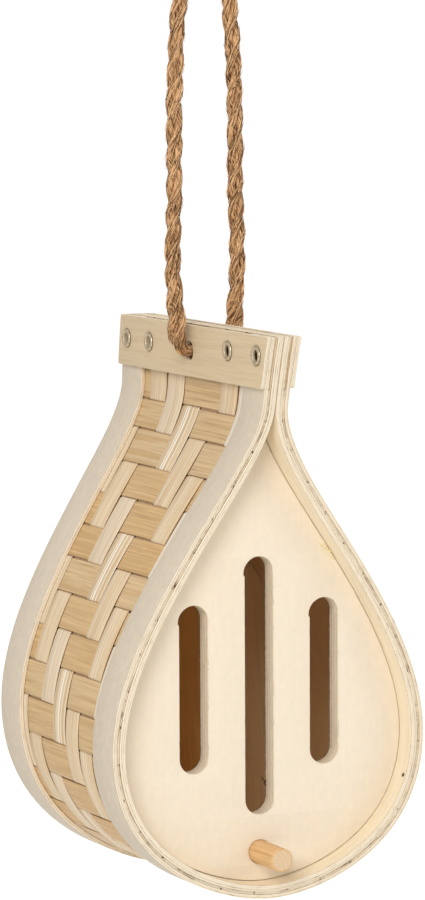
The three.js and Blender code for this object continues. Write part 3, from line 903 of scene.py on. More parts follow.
def travelling_frames(line):
    """Two directions square to a line at each of its points, which don't spin about it."""
    tangents = np.gradient(line, axis=0)
    tangents /= np.linalg.norm(tangents, axis=1)[:, None]
    first = np.cross(tangents[0], (0.31, 0.93, 0.2))
    firsts = [first / np.linalg.norm(first)]
    for tangent in tangents[1:]:
        moved = firsts[-1] - tangent * np.dot(firsts[-1], tangent)
        firsts.append(moved / np.linalg.norm(moved))
    firsts = np.array(firsts)
    return firsts, np.cross(tangents, firsts)


def laid_rope(route, diameter, lay, fibres, seed, girth=np.ones_like):
    """Three strands laid round each other along a route, each with ridged yarns, and loose fibres
    over them, with the line in their middle. The girth gives the rope's thickness as a share of
    its diameter at distances along it."""
    dice = random.Random(seed)
    line, run = smooth_route(route, ROPE_STEP)
    first, second = travelling_frames(line)
    strand = 0.483 * diameter / 2 * girth(run)
    middle = diameter / 2 * girth(run) - strand
    around = 2 * math.pi * np.arange(STRAND_SIDES) / STRAND_SIDES
    points, grain, tints, faces, centres = [], [], [], [], []
    for k in range(3):
        slip = wandering(f"{seed} slip {k}", 0.22)(run * 2)
        turn = 2 * math.pi * (run / lay + k / 3) + slip
        reach = middle * (1 + wandering(f"{seed} slack {k}", 0.12)(run * 3))
        out = np.cos(turn)[:, None] * first + np.sin(turn)[:, None] * second
        centre = line + reach[:, None] * out
        one, two = travelling_frames(centre)
        twist = -2 * math.pi * run / (0.7 * lay)
        yarns = around[None, :] - twist[:, None]
        bend = wandering(f"{seed} bend {k}", 0.9)(run * 3)[:, None]
        ridge = 0.1 * np.abs(np.cos(3.5 * yarns + bend)) - 0.06
        ridge = ridge + 0.045 * np.abs(np.cos(8 * yarns - 1.7 * bend))
        ridge = ridge + 0.02 * np.cos(13 * yarns + 2.3 * bend)
        lumps = wandering(f"{seed} lumps {k}", 0.06)(run * 4)
        radius = strand[:, None] * (1 + ridge) * (1 + lumps[:, None])
        ring = np.cos(around)[:, None] * one[:, None, :] + np.sin(around)[:, None] * two[:, None, :]
        ring = centre[:, None, :] + radius[..., None] * ring
        faces += tube_faces(len(run), STRAND_SIDES, k * len(run) * STRAND_SIDES)
        points.append(ring.reshape(-1, 3))
        grain.append(stacked(run[:, None], yarns * strand[:, None], ridge * 0.002))
        tints.append(np.full(len(run) * STRAND_SIDES, 0.5 + 0.06 * (k - 1)))
        centres.append((centre, turn))
    start = 3 * len(run) * STRAND_SIDES
    for _ in range(int(fibres * run[-1] * 3)):
        centre, turn = centres[dice.randrange(3)]
        at = dice.randrange(3, len(run) - 16)
        span = dice.randrange(6, 15)
        index = np.arange(at, at + span)
        turned = turn[index][:, None]
        out = first[index] * np.cos(turned) + second[index] * np.sin(turned)
        side = np.cross(np.gradient(centre, axis=0)[index], out)
        side /= np.linalg.norm(side, axis=1)[:, None]
        back = dice.uniform(-0.3, 0.9) * (turn[index] - turn[index].mean())
        lean = np.clip(dice.uniform(-1.1, 1.1) - back, -1.45, 1.45)
        curl = dice.choice([0.00002, 0.00004, 0.0001, 0.0005]) * dice.uniform(0.5, 2.2)
        fine = dice.random() < 0.3
        thick = dice.uniform(0.00005, 0.0001) if fine else dice.uniform(0.00014, 0.00026)
        thin = thick * np.sin(np.linspace(0.25, math.pi - 0.25, span))[:, None]
        away = np.cos(lean)[:, None] * out + np.sin(lean)[:, None] * side
        lift = strand[index] * 1.03 + curl * np.linspace(-0.3, 1, span) ** 2
        spine = centre[index] + away * lift[:, None]
        along = np.gradient(spine, axis=0)
        along /= np.linalg.norm(along, axis=1)[:, None]
        beside = np.cross(along, away)
        ring = np.stack([spine + away * thin, spine + beside * thin, spine - beside * thin], 1)
        points.append(ring.reshape(-1, 3))
        grain.append(stacked(run[index][:, None], lean[:, None] * 0.002, np.zeros((1, 3))))
        tints.append(np.full(3 * span, dice.random()))
        faces += tube_faces(span, 3, start)
        start += 3 * span
    mesh = skin(np.vstack(points), np.vstack(grain), faces, tint=np.concatenate(tints))
    return mesh, line


def whole_route(hang):
    """The rope's route in the model's frame, from the knot down one side, through the hole and up
    the other."""
    other = [(-out, 0.0, up - hang) for out, up in STRAND[:0:-1]]
    return other + [(out, 0.0, up - hang) for out, up in STRAND]


class HOUSE_OT_rope(PieceOperator, bpy.types.Operator):
    """Lays the three-strand rope from the knot through the neck and back"""

    bl_idname = "house.rope"
    bl_label = "Rope"

    def execute(self, context):
        sizes = context.scene.house_rope
        finish = jute("jute", context.scene.house_colours.jute)
        route = whole_route(sizes.hang)
        half = smooth_route(route, ROPE_STEP)[1][-1] / 2

        def girth(run):
            """Squeezed in the hole, swollen where the strands turn up out of it."""
            return np.interp(np.abs(run - half), *GIRTHS)

        mesh, line = laid_rope(route, sizes.diameter, sizes.lay, sizes.fibres, ROPE_SEED, girth)
        rope = finished("laid_rope", mesh, [finish], "hanger", CRISP_SOFT)
        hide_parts("rope")
        knot = self.knot(sizes, finish)
        return {"FINISHED"}

    def knot(self, sizes, finish):
        """One strand runs up through the knot and the other is wrapped round it and tucked in."""
        low, foot = -sizes.knot_height, STRAND[-1][0]
        core = [(x, y, low + rise) for x, y, rise in ((foot, 0, -0.0006), *KNOT_CORE)]
        wrapped = [(-foot, 0, low - 0.0006), (-0.0066, 0.0006, low + 0.0022)]
        for k in range(int(KNOT_WRAPS * 10) + 1):
            share = k / (KNOT_WRAPS * 10)
            angle = math.pi + 0.25 + 2 * math.pi * KNOT_WRAPS * share
            reach = 0.0084 - 0.0022 * max(0, share - 0.9) * 10
            rise = low + 0.0052 + 0.0205 * share
            wrapped.append((reach * math.cos(angle), -reach * math.sin(angle), rise))
        wrapped.append((-0.0052, 0.0016, low + 0.0332))
        joined = bmesh.new()
        for route, seed in zip((core, wrapped), KNOT_SEEDS):
            mesh, _ = laid_rope(route, 0.92 * sizes.diameter, sizes.lay, sizes.fibres, seed)
            joined.from_mesh(mesh)
        joined.to_mesh(mesh)
        joined.free()
        knot = finished("wrapped_knot", mesh, [finish], "hanger", CRISP_SOFT)
        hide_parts("knot")
        return knot


class HOUSE_OT_shell(PieceOperator, bpy.types.Operator):
    """Bends the moulded plywood shell to the teardrop outline"""

    bl_idname = "house.shell"
    bl_label = "Shell"

    def execute(self, context):
        body = Body(context.scene)
        s, c = body.sizes, context.scene.house_colours
        stations = even_stations(body, SHELL_STEP)
        extra = [s.rim_depth, s.foot_depth - s.rim_depth, body.boards.recess + body.boards.wall]
        mesh = band_mesh(body, stations, 0.0, s.foot_depth, body.shell, body.inner, extra, 0.31)
        faces = liner_wood("shell veneer", c.liner, c.chamber, c.behind, body)
        edges = ply_edge(
            "shell plies", c.edge_light, c.edge_dark, s.shell_wall, 3, 0.7, body.shell
        )
        piece = finished("moulded_shell", mesh, [faces, edges], "house")
        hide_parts("shell")
        return {"FINISHED"}


# The dark pin head in the liner on the right: its height, how far back it is, its radius
PIN = (0.0501, 0.0024, 0.0011)


def liner_wood(name, near, inside, gap_shade_brown, body):
    """Veneer that is pale in the open recess and deeper in colour inside the chamber. Its outer
    face, behind the splints, is painted dark brown as the shade seen in the gaps between them."""
    front = body.boards.recess + body.boards.wall
    back = body.sizes.foot_depth - front

    def shade(f, tone):
        along, across, deep = f.grain()
        share = f.times(f.step(across, front - 0.004, front), f.step(across, back + 0.004, back))
        tone = f.mix(share, tone, tuple(i / n for i, n in zip(inside, near)), "MULTIPLY")
        pin = f.spot(along, across, (body.station(PIN[0]), PIN[1]), PIN[2])
        tone = f.mix(pin, tone, toned(gap_shade_brown, 0.3, 0.2, 0.15))
        # Painted shade: the outer face, seen through the gaps between the splints, is painted dark
        # brown
        return f.mix(f.step(deep, body.shell + 0.0003, body.shell + 0.0001), tone, gap_shade_brown)

    return wood(name, near, 0.25, 0.4, 0.15, shade=shade)


class HOUSE_OT_edge_bands(PieceOperator, bpy.types.Operator):
    """Wraps a plywood band over the weave along the front and the back edge"""

    bl_idname = "house.edge_bands"
    bl_label = "Edge bands"

    def execute(self, context):
        body = Body(context.scene)
        s, c = body.sizes, context.scene.house_colours
        faces = wood("band veneer", c.band, 0.16, 0.25, 0.1, 0.66, 0.00003, mottle=0.5)
        edges = ply_edge("band plies", c.edge_light, c.edge_dark, s.rim_wall, 3, 0.75)
        stations = even_stations(body, BAND_STEP)
        for node, front, tint in (
            ("front_rim", 0.0, 0.62),
            ("back_rim", s.foot_depth - s.rim_depth, 0.18),
        ):
            back = front + s.rim_depth
            mesh = band_mesh(body, stations, front, back, 0.0, s.rim_wall, tint=tint)
            name = node.replace("rim", "band")
            piece = finished(name, mesh, [faces, edges], "house")
            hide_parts(node)
        return {"FINISHED"}


def sawn_ends(light, dark, depth, runs_back):
    """A shade for splints: pale with broken dark gaps where they were sawn at the body's edges."""

    def shade(f, tone):
        along, across, deep = f.grain()
        back, round_ = (along, across) if runs_back else (across, along)
        share = f.maths(
            "MAXIMUM", f.step(back, 0.0014, 0.0009), f.step(back, depth - 0.0014, depth - 0.0009)
        )
        broken = f.noise((round_, deep, 1.7), (120.0, 2600.0, 1.0), 4.0, 0.7)
        ends = f.mix(f.step(broken, 0.3, 0.6), light, toned(light, 0.84, 0.76, 0.64))
        ends = f.mix(f.step(broken, 0.56, 0.62, 0.8), ends, dark)
        return f.mix(share, tone, ends)

    return shade


# How strongly each long splint shows pale stripes, from the back edge to the front
LONG_STRIPE_SHARES = (0.1, 0.35, 0.2, 0.15, 1.0, 0.2, 0.3, 0.7, 0.1)


class HOUSE_OT_long_splints(PieceOperator, bpy.types.Operator):
    """Weaves the long splints round the body"""

    bl_idname = "house.long_splints"
    bl_label = "Long splints"

    def execute(self, context):
        body = Body(context.scene)
        s, w, c = body.sizes, body.weave, context.scene.house_colours
        ends = sawn_ends(c.edge_light, c.behind, s.foot_depth, False)
        finish = wood(
            "long splints", c.warp, 0.65, 0.3, 0.15, 0.55, 0.00007, spread=0.6,
            stripes=paint(252, 245, 230), shade=ends,
        )
        rows = body.rows()
        spans = [(a, b) for _, a, b in rows]
        spans[0], spans[-1] = (-body.half, spans[0][1]), (spans[-1][0], body.half)
        for index, low, high in body.columns():
            levels = [
                body.under if cross_splint_floats(row, index) else body.over for row, _, _ in rows
            ]
            bare = s.rim_depth + 0.001 <= low and high <= s.foot_depth - s.rim_depth - 0.001
            bulge = w.bulge if bare else 0.0
            run = woven_run(spans, levels, w.ramp, LONG_STEP, lambda at, reach=bulge: reach)
            third = (high - low) / 3
            cuts = (SPLINT_EASE, third, 2 * third, high - low - SPLINT_EASE)
            seeds = (f"long {index} near", f"long {index} far")
            mesh = splint_mesh(
                body, seeds, low, high, cuts, run, False,
                tint=random.Random(f"long tint {index}").random(),
                stripe=LONG_STRIPE_SHARES[index + 1],
            )
            name = f"long_splint_{index + 2:02d}"
            piece = finished(
                f"woven_{name}", drilled(mesh, body), [finish], "house",
                CRISP_SPLINT,
            )
            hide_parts(name)
        return {"FINISHED"}


class HOUSE_OT_cross_splints(PieceOperator, bpy.types.Operator):
    """Weaves the cross splints from front to back, over two long splints and under two"""

    bl_idname = "house.cross_splints"
    bl_label = "Cross splints"

    def execute(self, context):
        body = Body(context.scene)
        s, w, c = body.sizes, body.weave, context.scene.house_colours
        ends = sawn_ends(c.edge_light, c.behind, s.foot_depth, True)
        finish = wood(
            "cross splints", c.weft, 0.95, 0.5, 0.3, 0.55, 0.00007, spread=1.0, shade=ends
        )
        hidden = hidden_splint(c.weft)
        columns = body.columns()[::-1]
        spans = [(a, b) for _, a, b in columns]

        def bulge(at):
            inside = np.minimum(at - s.rim_depth, s.foot_depth - s.rim_depth - at)
            return w.bulge * np.clip(inside / 0.006, 0, 1)

        for index, low, high in body.rows():
            name = f"cross_splint_{index + 2:02d}"
            if index in (-1, w.rows):
                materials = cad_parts[name].data.materials
                materials.clear()
                materials.append(hidden)
                continue
            levels = [
                body.over if cross_splint_floats(index, column) else body.under
                for column, _, _ in columns
            ]
            run = woven_run(spans, levels, w.ramp, CROSS_STEP, bulge)
            flat = high - low - 2 * SPLINT_EASE
            cuts = [SPLINT_EASE + flat * k / CROSS_PARTS for k in range(CROSS_PARTS + 1)]
            seeds = (f"cross {index} first", f"cross {index} last")
            mesh = splint_mesh(
                body, seeds, low, high, cuts, run, True,
                tint=random.Random(f"cross tint {index}").random(), stripe=0.0,
            )
            piece = finished(
                f"woven_{name}", mesh, [finish], "house", CRISP_SPLINT
            )
            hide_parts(name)
        return {"FINISHED"}


def hidden_splint(base):
    """The finish of the splints under the clamp bars, which keep their plain solids."""
    f = Finish("covered splint")
    node = f.node("SeparateXYZ")
    f.put(node.inputs[0], f.node("TexCoord").outputs["Object"])
    fibres = f.noise(tuple(node.outputs), (2600.0, 55.0, 2600.0), 3.0, 0.6)
    tone = f.mix(f.step(fibres, 0.3, 0.7), toned(base, 0.72, 0.66, 0.56), base)
    f.surface(Base_Color=tone, Roughness=f.total(0.5, (fibres, 0.2)))
    f.bump(0.00007, fibres)
    return f.material


# The nick that the cutter left at the top left of each slot: how far out, and how far down it ends
NICK = (0.0006, 0.0016)


def slot_loop(x, low, high, width, steps=20):
    """The outline of a round-ended slot with its nick."""
    radius = width / 2
    loop = []
    for end, start in ((high - radius, 0.0), (low + radius, math.pi)):
        for k in range(steps + 1):
            angle = start + math.pi * k / steps
            torn = max(0.0, (angle / math.pi - 0.7) / 0.3) if start == 0.0 else 0.0
            out = radius + NICK[0] * torn
            loop.append((x + out * math.cos(angle), end + out * math.sin(angle)))
        if start == 0.0:
            loop += [(x - radius - NICK[0], end - 0.7 * NICK[1]), (x - radius, end - NICK[1])]
    return loop


def sawn_board(loops, wall, ease):
    """A flat board cut to loops, the first its outline and the rest its holes, with every edge
    eased: its points, its faces, and which of these are edges (1)."""
    data = bpy.data.curves.new("board", "CURVE")
    data.dimensions = "2D"
    data.fill_mode = "BOTH"
    for loop in loops:
        spline = data.splines.new("POLY")
        spline.points.add(len(loop) - 1)
        spline.points.foreach_set("co", [n for u, v in loop for n in (u, v, 0.0, 1.0)])
        spline.use_cyclic_u = True
    data.extrude = wall / 2 - ease
    data.bevel_depth = ease
    data.bevel_resolution = 2
    data.offset = -ease
    shape = bpy.data.objects.new("board", data)
    bpy.context.scene.collection.objects.link(shape)
    ready = shape.evaluated_get(bpy.context.evaluated_depsgraph_get())
    mesh = bpy.data.meshes.new_from_object(ready)
    bpy.data.objects.remove(shape)
    work = bmesh.new()
    work.from_mesh(mesh)
    bmesh.ops.remove_doubles(work, verts=work.verts, dist=0.000005)
    work.to_mesh(mesh)
    work.free()
    points = np.zeros(len(mesh.vertices) * 3)
    mesh.vertices.foreach_get("co", points)
    points = points.reshape(-1, 3)
    faces = [tuple(p.vertices) for p in mesh.polygons]
    kinds = [0 if abs(p.normal.z) > 0.97 else 1 for p in mesh.polygons]
    bpy.data.meshes.remove(mesh)
    return points, faces, kinds


def board_outline(body):
    """The outline of a board that sits inside the shell, cut off short in the neck."""
    b = body.boards
    stations = np.linspace(0.0008, body.half, 400)
    x, z = body.outline(stations, body.inner + b.clearance)
    keep = (z < body.sizes.belly_height) | (x > b.top_width / 2)
    last = int(np.argmax(~keep)) if (~keep).any() else len(x)
    right = [(float(u), float(v)) for u, v in zip(x[:last], z[:last]) if u > 0]
    return right + [(-u, v) for u, v in reversed(right)]


# Between the perch and its hole in the front board
SEAT_GAP = 0.00015
# The faint mark low on the right of the front board: its height, how far across, its radius
MARK = (0.0347, 0.0606, 0.0007)


def faint_mark(f, tone):
    """A shade for the front board: the mark."""
    along, across, _ = f.grain()
    spot = f.spot(along, across, MARK[:2], MARK[2])
    return f.mix(f.times(spot, 0.7), tone, paint(150, 110, 72))


def painted_shade_left(f, tone):
    """Painted shade: redder and darker towards the left, where the least light gets into the
    chamber.
    """
    _, across, _ = f.grain()
    return f.mix(f.step(across, 0.036, 0.012), tone, (1.0, 0.74, 0.36), "MULTIPLY")


class HOUSE_OT_boards(PieceOperator, bpy.types.Operator):
    """Cuts the front board with its slots, and the plain back board"""

    bl_idname = "house.boards"
    bl_label = "Boards"

    def execute(self, context):
        body = Body(context.scene)
        b, c = body.boards, context.scene.house_colours
        face = wood(
            "board veneer", c.board, 0.05, 0.12, 0.05, 0.6, 0.00002, mottle=0.22, shade=faint_mark
        )
        # The chamber faces of the boards, with painted shade towards the left
        inside = wood("board inner veneer", c.chamber, 0.4, 0.4, 0.2, 0.66, shade=painted_shade_left)
        plies = c.edge_light, c.edge_dark, b.wall, 7, 0.6
        outline = board_outline(body)
        slots = [
            slot_loop(side * b.slot_spacing, *ends, b.slot_width)
            for side, ends in ((0, b.centre_slot), (-1, b.side_slot), (1, b.side_slot))
        ]
        seat = circle_loop(0.0, b.perch_height, b.perch_diameter / 2 + SEAT_GAP)
        back_y = body.sizes.foot_depth - b.recess - b.wall
        for word, loops, y, tint, inner, torn in (
            ("front", [outline, *slots, seat], b.recess, 0.4, 1.0, b.wall - 0.0004),
            ("back", [outline], back_y, 0.77, 0.0, None),
        ):
            points, faces, kinds = sawn_board(loops, b.wall, BOARD_EASE)
            x, z, deep = points[:, 0], points[:, 1], points[:, 2] + b.wall / 2
            in_chamber = np.abs(deep / b.wall - inner) < 0.1
            kinds = [2 if k == 0 and all(in_chamber[v] for v in face_points) else k
                     for k, face_points in zip(kinds, faces)]
            placed = body.place(x, body.deepened(y + deep, z), z)
            mesh = skin(placed, np.stack([z, x, deep], -1), faces, kinds, tint=tint)
            edge = ply_edge(f"{word} board plies", *plies, torn=torn)
            piece = finished(f"{word}_board", mesh, [face, edge, inside], "house")
            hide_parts(f"{word}_panel")
        return {"FINISHED"}


def turned_points(profile, sides):
    """Points of a shape turned about the x axis, from (along, radius) pairs."""
    rings = [(along, circle_loop(0.0, 0.0, radius, sides)) for along, radius in profile]
    return np.array([(along, *at) for along, ring in rings for at in ring])


# Rounding of the perch's outer end
PERCH_EASE = 0.0008


class HOUSE_OT_perch(PieceOperator, bpy.types.Operator):
    """Turns the perch and seats it in the front board"""

    bl_idname = "house.perch"
    bl_label = "Perch"

    def execute(self, context):
        body = Body(context.scene)
        b, c = body.boards, context.scene.house_colours
        radius = b.perch_diameter / 2
        long = b.perch_reach + b.wall
        profile = [(0.0, radius * k / 6) for k in (0.02, 2, 4, 5.6)]
        profile += [(0.0003, radius)] + [(long * k / 8, radius) for k in range(1, 8)]
        for k in range(5):
            angle = 0.5 * math.pi * k / 4
            along = long - PERCH_EASE + PERCH_EASE * math.sin(angle)
            profile.append((along, radius - PERCH_EASE * (1 - math.cos(angle))))
        profile += [(long, radius * k / 6) for k in (4.5, 3, 1.5, 0.02)]
        points = turned_points(profile, PERCH_SIDES)
        along, x, z = points.T
        placed = body.place(x, b.recess + b.wall - along, b.perch_height + z)
        faces = tube_faces(len(profile), PERCH_SIDES)
        side_faces = range(3 * PERCH_SIDES, (len(profile) - 5) * PERCH_SIDES)
        kinds = [0 if i in side_faces else 1 for i in range(len(faces))]
        mesh = skin(placed, points, faces, kinds, tint=0.45)
        side = wood("dowel side", c.dowel, 0.7, 0.6, 0.4, 0.6)
        end = dowel_end("dowel end", c.dowel, radius)
        piece = finished("turned_perch", mesh, [side, end], "house")
        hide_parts("perch")
        return {"FINISHED"}


def dowel_end(name, base, radius):
    """The sawn end of a dowel: growth rings off to one side, end pores, paler than the side."""
    f = Finish(name)
    _, across, up = f.grain()
    reach = f.distance(f.maths("ADD", across, 2.2 * radius), f.maths("ADD", up, 1.1 * radius))
    warp = f.noise((across, up, 0.4), (350.0, 350.0, 1.0), 2.0)
    pores = f.noise((across, up, 0.9), (4200.0, 4200.0, 1.0), 2.0, 0.6)
    rings = f.maths("PINGPONG", f.total(f.times(reach, 950.0), (warp, 0.8)), 1.0)
    away = f.distance(across, up)
    tone = f.stained(
        toned(base, 0.99, 1.13, 1.45), base,
        (rings, 0.35, 0.9, 0.22, (0.9, 0.86, 0.84)),
        (pores, 0.58, 0.7, 0.5, (0.5, 0.42, 0.36)),
        (away, radius - 0.0008, radius - 0.0003, 0.55, (0.8, 0.64, 0.46)),
    )
    f.surface(Base_Color=tone, Roughness=f.total(0.66, (pores, 0.2)))
    f.bump(0.00012, f.total(f.times(rings, 0.3), (pores, 1.0)))
    return f.material


# Crumbs of glue where the front board meets the shell: across, up and their radius
CRUMBS = (
    (0.0312, 0.1621, 0.0005), (0.0322, 0.1609, 0.0007), (0.0331, 0.1617, 0.0004),
    (0.0338, 0.1598, 0.0008), (0.0347, 0.1606, 0.0005), (0.0352, 0.1588, 0.0006),
    (0.0363, 0.1581, 0.0008), (0.0371, 0.1569, 0.0005), (0.0326, 0.1589, 0.0004),
    (0.0341, 0.1576, 0.0004), (0.0357, 0.1561, 0.0005), (0.0376, 0.1557, 0.0006),
    (0.0366, 0.1548, 0.0004), (0.0383, 0.1544, 0.0005),
)
# Slivers that the cutter tore up at the back of the centre slot: across and up of both ends
SLIVERS = (
    ((0.0072, 0.0489), (0.0056, 0.0523)),
    ((0.0058, 0.0519), (0.0040, 0.0544)),
    ((0.0072, 0.0514), (0.0054, 0.0502)),
)


class HOUSE_OT_glue_and_slivers(PieceOperator, bpy.types.Operator):
    """Leaves the crumbs of dried glue and the torn slivers on the front board"""

    bl_idname = "house.glue_and_slivers"
    bl_label = "Glue and slivers"

    def execute(self, context):
        body, c = Body(context.scene), context.scene.house_colours
        glue = dried_glue("dried glue", c.glue)
        torn = wood("torn slivers", toned(c.behind, 0.5, 0.4, 0.35), 0.4, 0.3, 0.2, 0.7)
        for name, build, finish in (
            ("glue_crumbs", self.crumbs, glue),
            ("torn_slivers", self.slivers, torn),
        ):
            points, grain, faces = build(body.boards)
            mesh = skin(body.place(*np.array(points).T), grain, faces)
            if not mesh.polygons:
                raise RuntimeError(f"{name} came out empty")
            finished(name, mesh, [finish], "house", CRISP_SOFT)
        return {"FINISHED"}

    def crumbs(self, b):
        """Uneven domes."""
        points, grain, faces = [], [], []
        sides, rings = 10, 5
        for x, z, radius in CRUMBS:
            dice = random.Random(f"crumb {x}")
            faces += tube_faces(rings, sides, len(points))
            for k in range(rings):
                rise = math.cos(0.5 * math.pi * (rings - 1 - k) / rings)
                reach = math.sqrt(1 - rise * rise) if k < rings - 1 else 0.25
                for side in range(sides):
                    angle = 2 * math.pi * side / sides
                    out = radius * (1 + dice.uniform(-0.22, 0.22)) * reach
                    u, v = x + out * math.cos(angle), z + out * math.sin(angle)
                    points.append((u, b.recess - 0.6 * radius * rise + 0.0001, v))
                    grain.append((u, v, radius * rise))
        return points, grain, faces

    def slivers(self, b):
        """Square splinters that thin out to a point and bend forward."""
        points, grain, faces = [], [], []
        for (u, v), (end_u, end_v) in SLIVERS:
            faces += tube_faces(4, 4, len(points))
            for share, thick in ((0.0, 0.0004), (0.35, 0.00036), (0.7, 0.00026), (1.0, 0.00008)):
                x, z = u + (end_u - u) * share, v + (end_v - v) * share
                y = b.recess + 0.92 * b.wall - 0.0015 * share * share
                for back, up in ((-1, -1), (1, -1), (1, 1), (-1, 1)):
                    points.append((x, y + back * thick, z + up * thick))
                grain += [(share * 0.004, 0.0, 0.0), (share * 0.004, thick, 0.0)] * 2
        return points, grain, faces


class HOUSE_OT_clamp_bars(PieceOperator, bpy.types.Operator):
    """Cuts the two bars that clamp the neck, with the rivet holes and the rope hole"""

    bl_idname = "house.clamp_bars"
    bl_label = "Clamp bars"

    def execute(self, context):
        body = Body(context.scene)
        n, c = body.neck, context.scene.house_colours
        face = wood("bar veneer", c.bar, 0.3, 0.3, 0.2, 0.64, 0.00004)
        edge = ply_edge("bar plies", c.edge_light, c.edge_dark, n.bar_wall, 3, 0.6)
        loops = [self.outline(body)] + [circle_loop(*bore) for bore in body.bores()]
        for side, word in ((-1, "left"), (1, "right")):
            points, faces, kinds = sawn_board(loops, n.bar_wall, BAR_EASE)
            y, z, deep = points.T
            placed = body.place(side * (body.bar_inner + n.bar_wall / 2 + deep), y, z)
            grain = np.stack([y, z, deep + n.bar_wall / 2], -1)
            mesh = skin(placed, grain, faces, kinds, tint=0.3 + 0.2 * side)
            piece = finished(f"clamp_bar_{word}_board", mesh, [face, edge], "house")
            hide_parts(f"clamp_bar_{word}")
        return {"FINISHED"}

    def outline(self, body):
        """A bar's outline with rounded corners, back and up, with the body's depth and lean."""
        n, depth = body.neck, body.sizes.foot_depth
        low, high = body.bore_height - n.bar_height / 2, body.bore_height + n.bar_height / 2
        starts = ((depth, low, -0.5), (depth, high, 0.0), (0.0, high, 0.5), (0.0, low, 1.0))
        corners = []
        for u, v, turn in starts:
            mid_u = u - math.copysign(n.bar_corner, u - depth / 2)
            mid_v = v - math.copysign(n.bar_corner, v - body.bore_height)
            for k in range(5):
                angle = math.pi * (turn + 0.5 * k / 4)
                out, up = n.bar_corner * math.cos(angle), n.bar_corner * math.sin(angle)
                corners.append((mid_u + out, mid_v + up))
        outline = []
        for (u, v), (after_u, after_v) in zip(corners, corners[1:] + corners[:1]):
            parts = max(1, round(math.hypot(after_u - u, after_v - v) / 0.004))
            for k in range(parts):
                y, z = u + (after_u - u) * k / parts, v + (after_v - v) * k / parts
                outline.append((float(body.leaned(y, z)), z))
        return outline


# How deep the painted light reaches into the bores of each pair of rivets; beyond it they are
# painted dark
LIT_BORES = (("front", 0.0006), ("back", 0.0016))


class HOUSE_OT_rivets(PieceOperator, bpy.types.Operator):
    """Sets the four tubular rivets with their rolled heads"""

    bl_idname = "house.rivets"
    bl_label = "Rivets"

    def execute(self, context):
        body = Body(context.scene)
        n, c = body.neck, context.scene.house_colours
        seat = body.bar_outer + body.sizes.layer_gap
        bore, tube, head = n.rivet_bore / 2, n.rivet_tube / 2, n.rivet_head / 2
        middle, reach = (bore + head) / 2, (head - bore) / 2
        rolled = []
        for k in range(13):
            angle = math.pi * k / 12
            rise = n.head_height * math.sin(angle) ** 0.8
            rolled.append((seat + rise, middle + reach * math.cos(angle)))
        right = [(0.0, tube), (seat * 0.97, tube), (seat, tube + 0.0002), *rolled]
        right += [(seat * 0.95, bore), (0.0, bore)]
        profile = right + [(-along, radius) for along, radius in reversed(right[1:-1])]
        along, out, up = turned_points(profile, RIVET_SIDES).T
        turn = np.tile(np.arange(RIVET_SIDES) / RIVET_SIDES, len(profile))
        grain = np.stack([along, turn * 0.02, np.hypot(out, up)], -1)
        faces = tube_faces(len(profile), RIVET_SIDES, closed=True)
        finishes = [
            steel(f"{pair} rivet steel with painted bore light", c.steel, seat, bore, lit) for pair, lit in LIT_BORES
        ]
        names = ("front_outer", "front_inner", "back_inner", "back_outer")
        for index, (name, (y, z)) in enumerate(zip(names, body.rivet_places())):
            mesh = skin(body.place(along, y + out, z + up), grain, faces)
            piece = finished(
                f"rolled_rivet_{name}", mesh, [finishes[index // 2]], "house",
                CRISP_RIVET,
            )
            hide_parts(f"rivet_{name}")
        return {"FINISHED"}


# The floor's height and radius
FLOOR_HEIGHT = -0.86
FLOOR_REACH = 14.0
# Name, place, size and power of each lamp, and the point that they are aimed at
LAMPS = (
    ("key lamp", (-1.75, -2.1, 1.05), 1.6, 47.0),
    ("fill lamp", (2.2, -1.8, 0.8), 1.8, 15.0),
    ("top lamp", (0.2, 0.6, 2.4), 1.8, 16.0),
)
LAMP_AIM = (0.0, 0.0, -0.38)


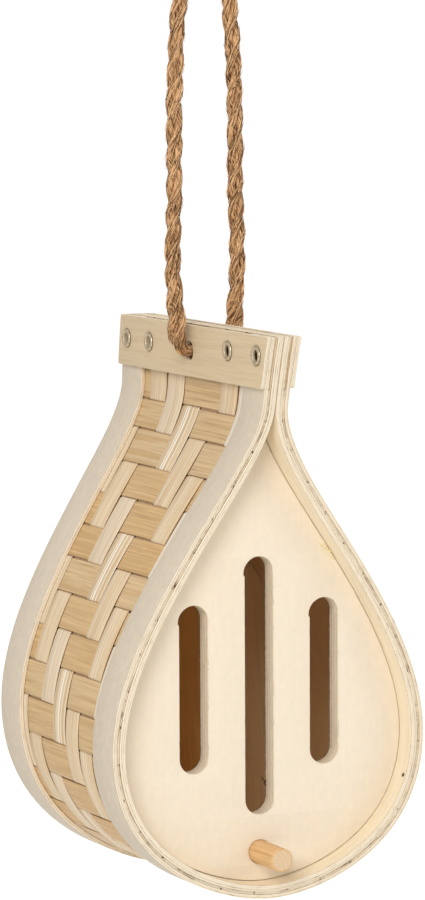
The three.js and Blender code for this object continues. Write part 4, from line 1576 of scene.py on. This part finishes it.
class HOUSE_OT_stage(PieceOperator, bpy.types.Operator):
    """Adds the pale floor, the soft lamps and the world"""

    bl_idname = "house.stage"
    bl_label = "Stage"

    def execute(self, context):
        self.floor(context.scene.house_colours.stage)
        self.world(context.scene)
        for lamp in LAMPS:
            self.lamp(*lamp)
        context.scene.view_settings.view_transform = "Standard"
        return {"FINISHED"}

    def floor(self, base):
        loop = circle_loop(0.0, 0.0, FLOOR_REACH, FLOOR_SIDES)
        ring = [(x, y, FLOOR_HEIGHT) for x, y in loop]
        mesh = bpy.data.meshes.new("floor")
        mesh.from_pydata(ring, [], [tuple(range(len(ring)))])
        floor = bpy.data.objects.new("floor", mesh)
        bpy.context.scene.collection.objects.link(floor)
        f = Finish("floor")
        f.surface(Base_Color=base, Roughness=0.9, Specular_IOR_Level=0.0)
        glow = f.times(f.seen_directly(), 0.6)
        f.surface(Emission_Color=(1.0, 1.0, 1.0), Emission_Strength=glow)
        mesh.materials.append(f.material)

    def world(self, scene):
        world = bpy.data.worlds.new("studio")
        scene.world = world
        world.use_nodes = True
        nodes = Nodes(world.node_tree)
        background = nodes.node("Background")
        nodes.put(background.inputs["Color"], (1.0, 1.0, 1.0))
        nodes.put(background.inputs["Strength"], nodes.total(0.5, (nodes.seen_directly(), 0.5)))
        nodes.put(nodes.node("OutputWorld").inputs["Surface"], background.outputs[0])

    def lamp(self, name, place, size, power):
        data = bpy.data.lights.new(name, "AREA")
        data.shape = "DISK"
        data.size = size
        data.energy = power
        lamp = bpy.data.objects.new(name, data)
        aim = Vector(LAMP_AIM) - Vector(place)
        lamp.location = place
        lamp.rotation_euler = aim.to_track_quat("-Z", "Y").to_euler()
        bpy.context.scene.collection.objects.link(lamp)


GROUPS = (
    ("house_body", BodySizes),
    ("house_weave", WeaveSizes),
    ("house_boards", BoardSizes),
    ("house_neck", NeckSizes),
    ("house_rope", RopeSizes),
    ("house_colours", Colours),
)
OPERATORS = (
    HOUSE_OT_camera,
    HOUSE_OT_rope,
    HOUSE_OT_shell,
    HOUSE_OT_long_splints,
    HOUSE_OT_cross_splints,
    HOUSE_OT_edge_bands,
    HOUSE_OT_boards,
    HOUSE_OT_perch,
    HOUSE_OT_glue_and_slivers,
    HOUSE_OT_clamp_bars,
    HOUSE_OT_rivets,
    HOUSE_OT_stage,
)


class HOUSE_PT_panel(bpy.types.Panel):
    """Lists the sizes, the colours and a button for each piece"""

    bl_idname = "HOUSE_PT_panel"
    bl_label = "Insect House"
    bl_space_type = "VIEW_3D"
    bl_region_type = "UI"
    bl_category = "Insect House"

    def draw(self, context):
        for operator in OPERATORS:
            self.layout.operator(operator.bl_idname)
        for name, group in GROUPS:
            box = self.layout.box()
            settings = getattr(context.scene, name)
            for key in group.__annotations__:
                box.prop(settings, key)


def register():
    for group in GROUPS:
        bpy.utils.register_class(group[1])
        setattr(bpy.types.Scene, group[0], bpy.props.PointerProperty(type=group[1]))
    for operator in OPERATORS:
        bpy.utils.register_class(operator)
    bpy.utils.register_class(HOUSE_PT_panel)


def unregister():
    bpy.utils.unregister_class(HOUSE_PT_panel)
    for operator in reversed(OPERATORS):
        bpy.utils.unregister_class(operator)
    for name, group in reversed(GROUPS):
        delattr(bpy.types.Scene, name)
        bpy.utils.unregister_class(group)


def main():
    register()
    for operator in OPERATORS:
        family, call = operator.bl_idname.split(".")
        getattr(getattr(bpy.ops, family), call)()


if __name__ == "__main__":
    main()
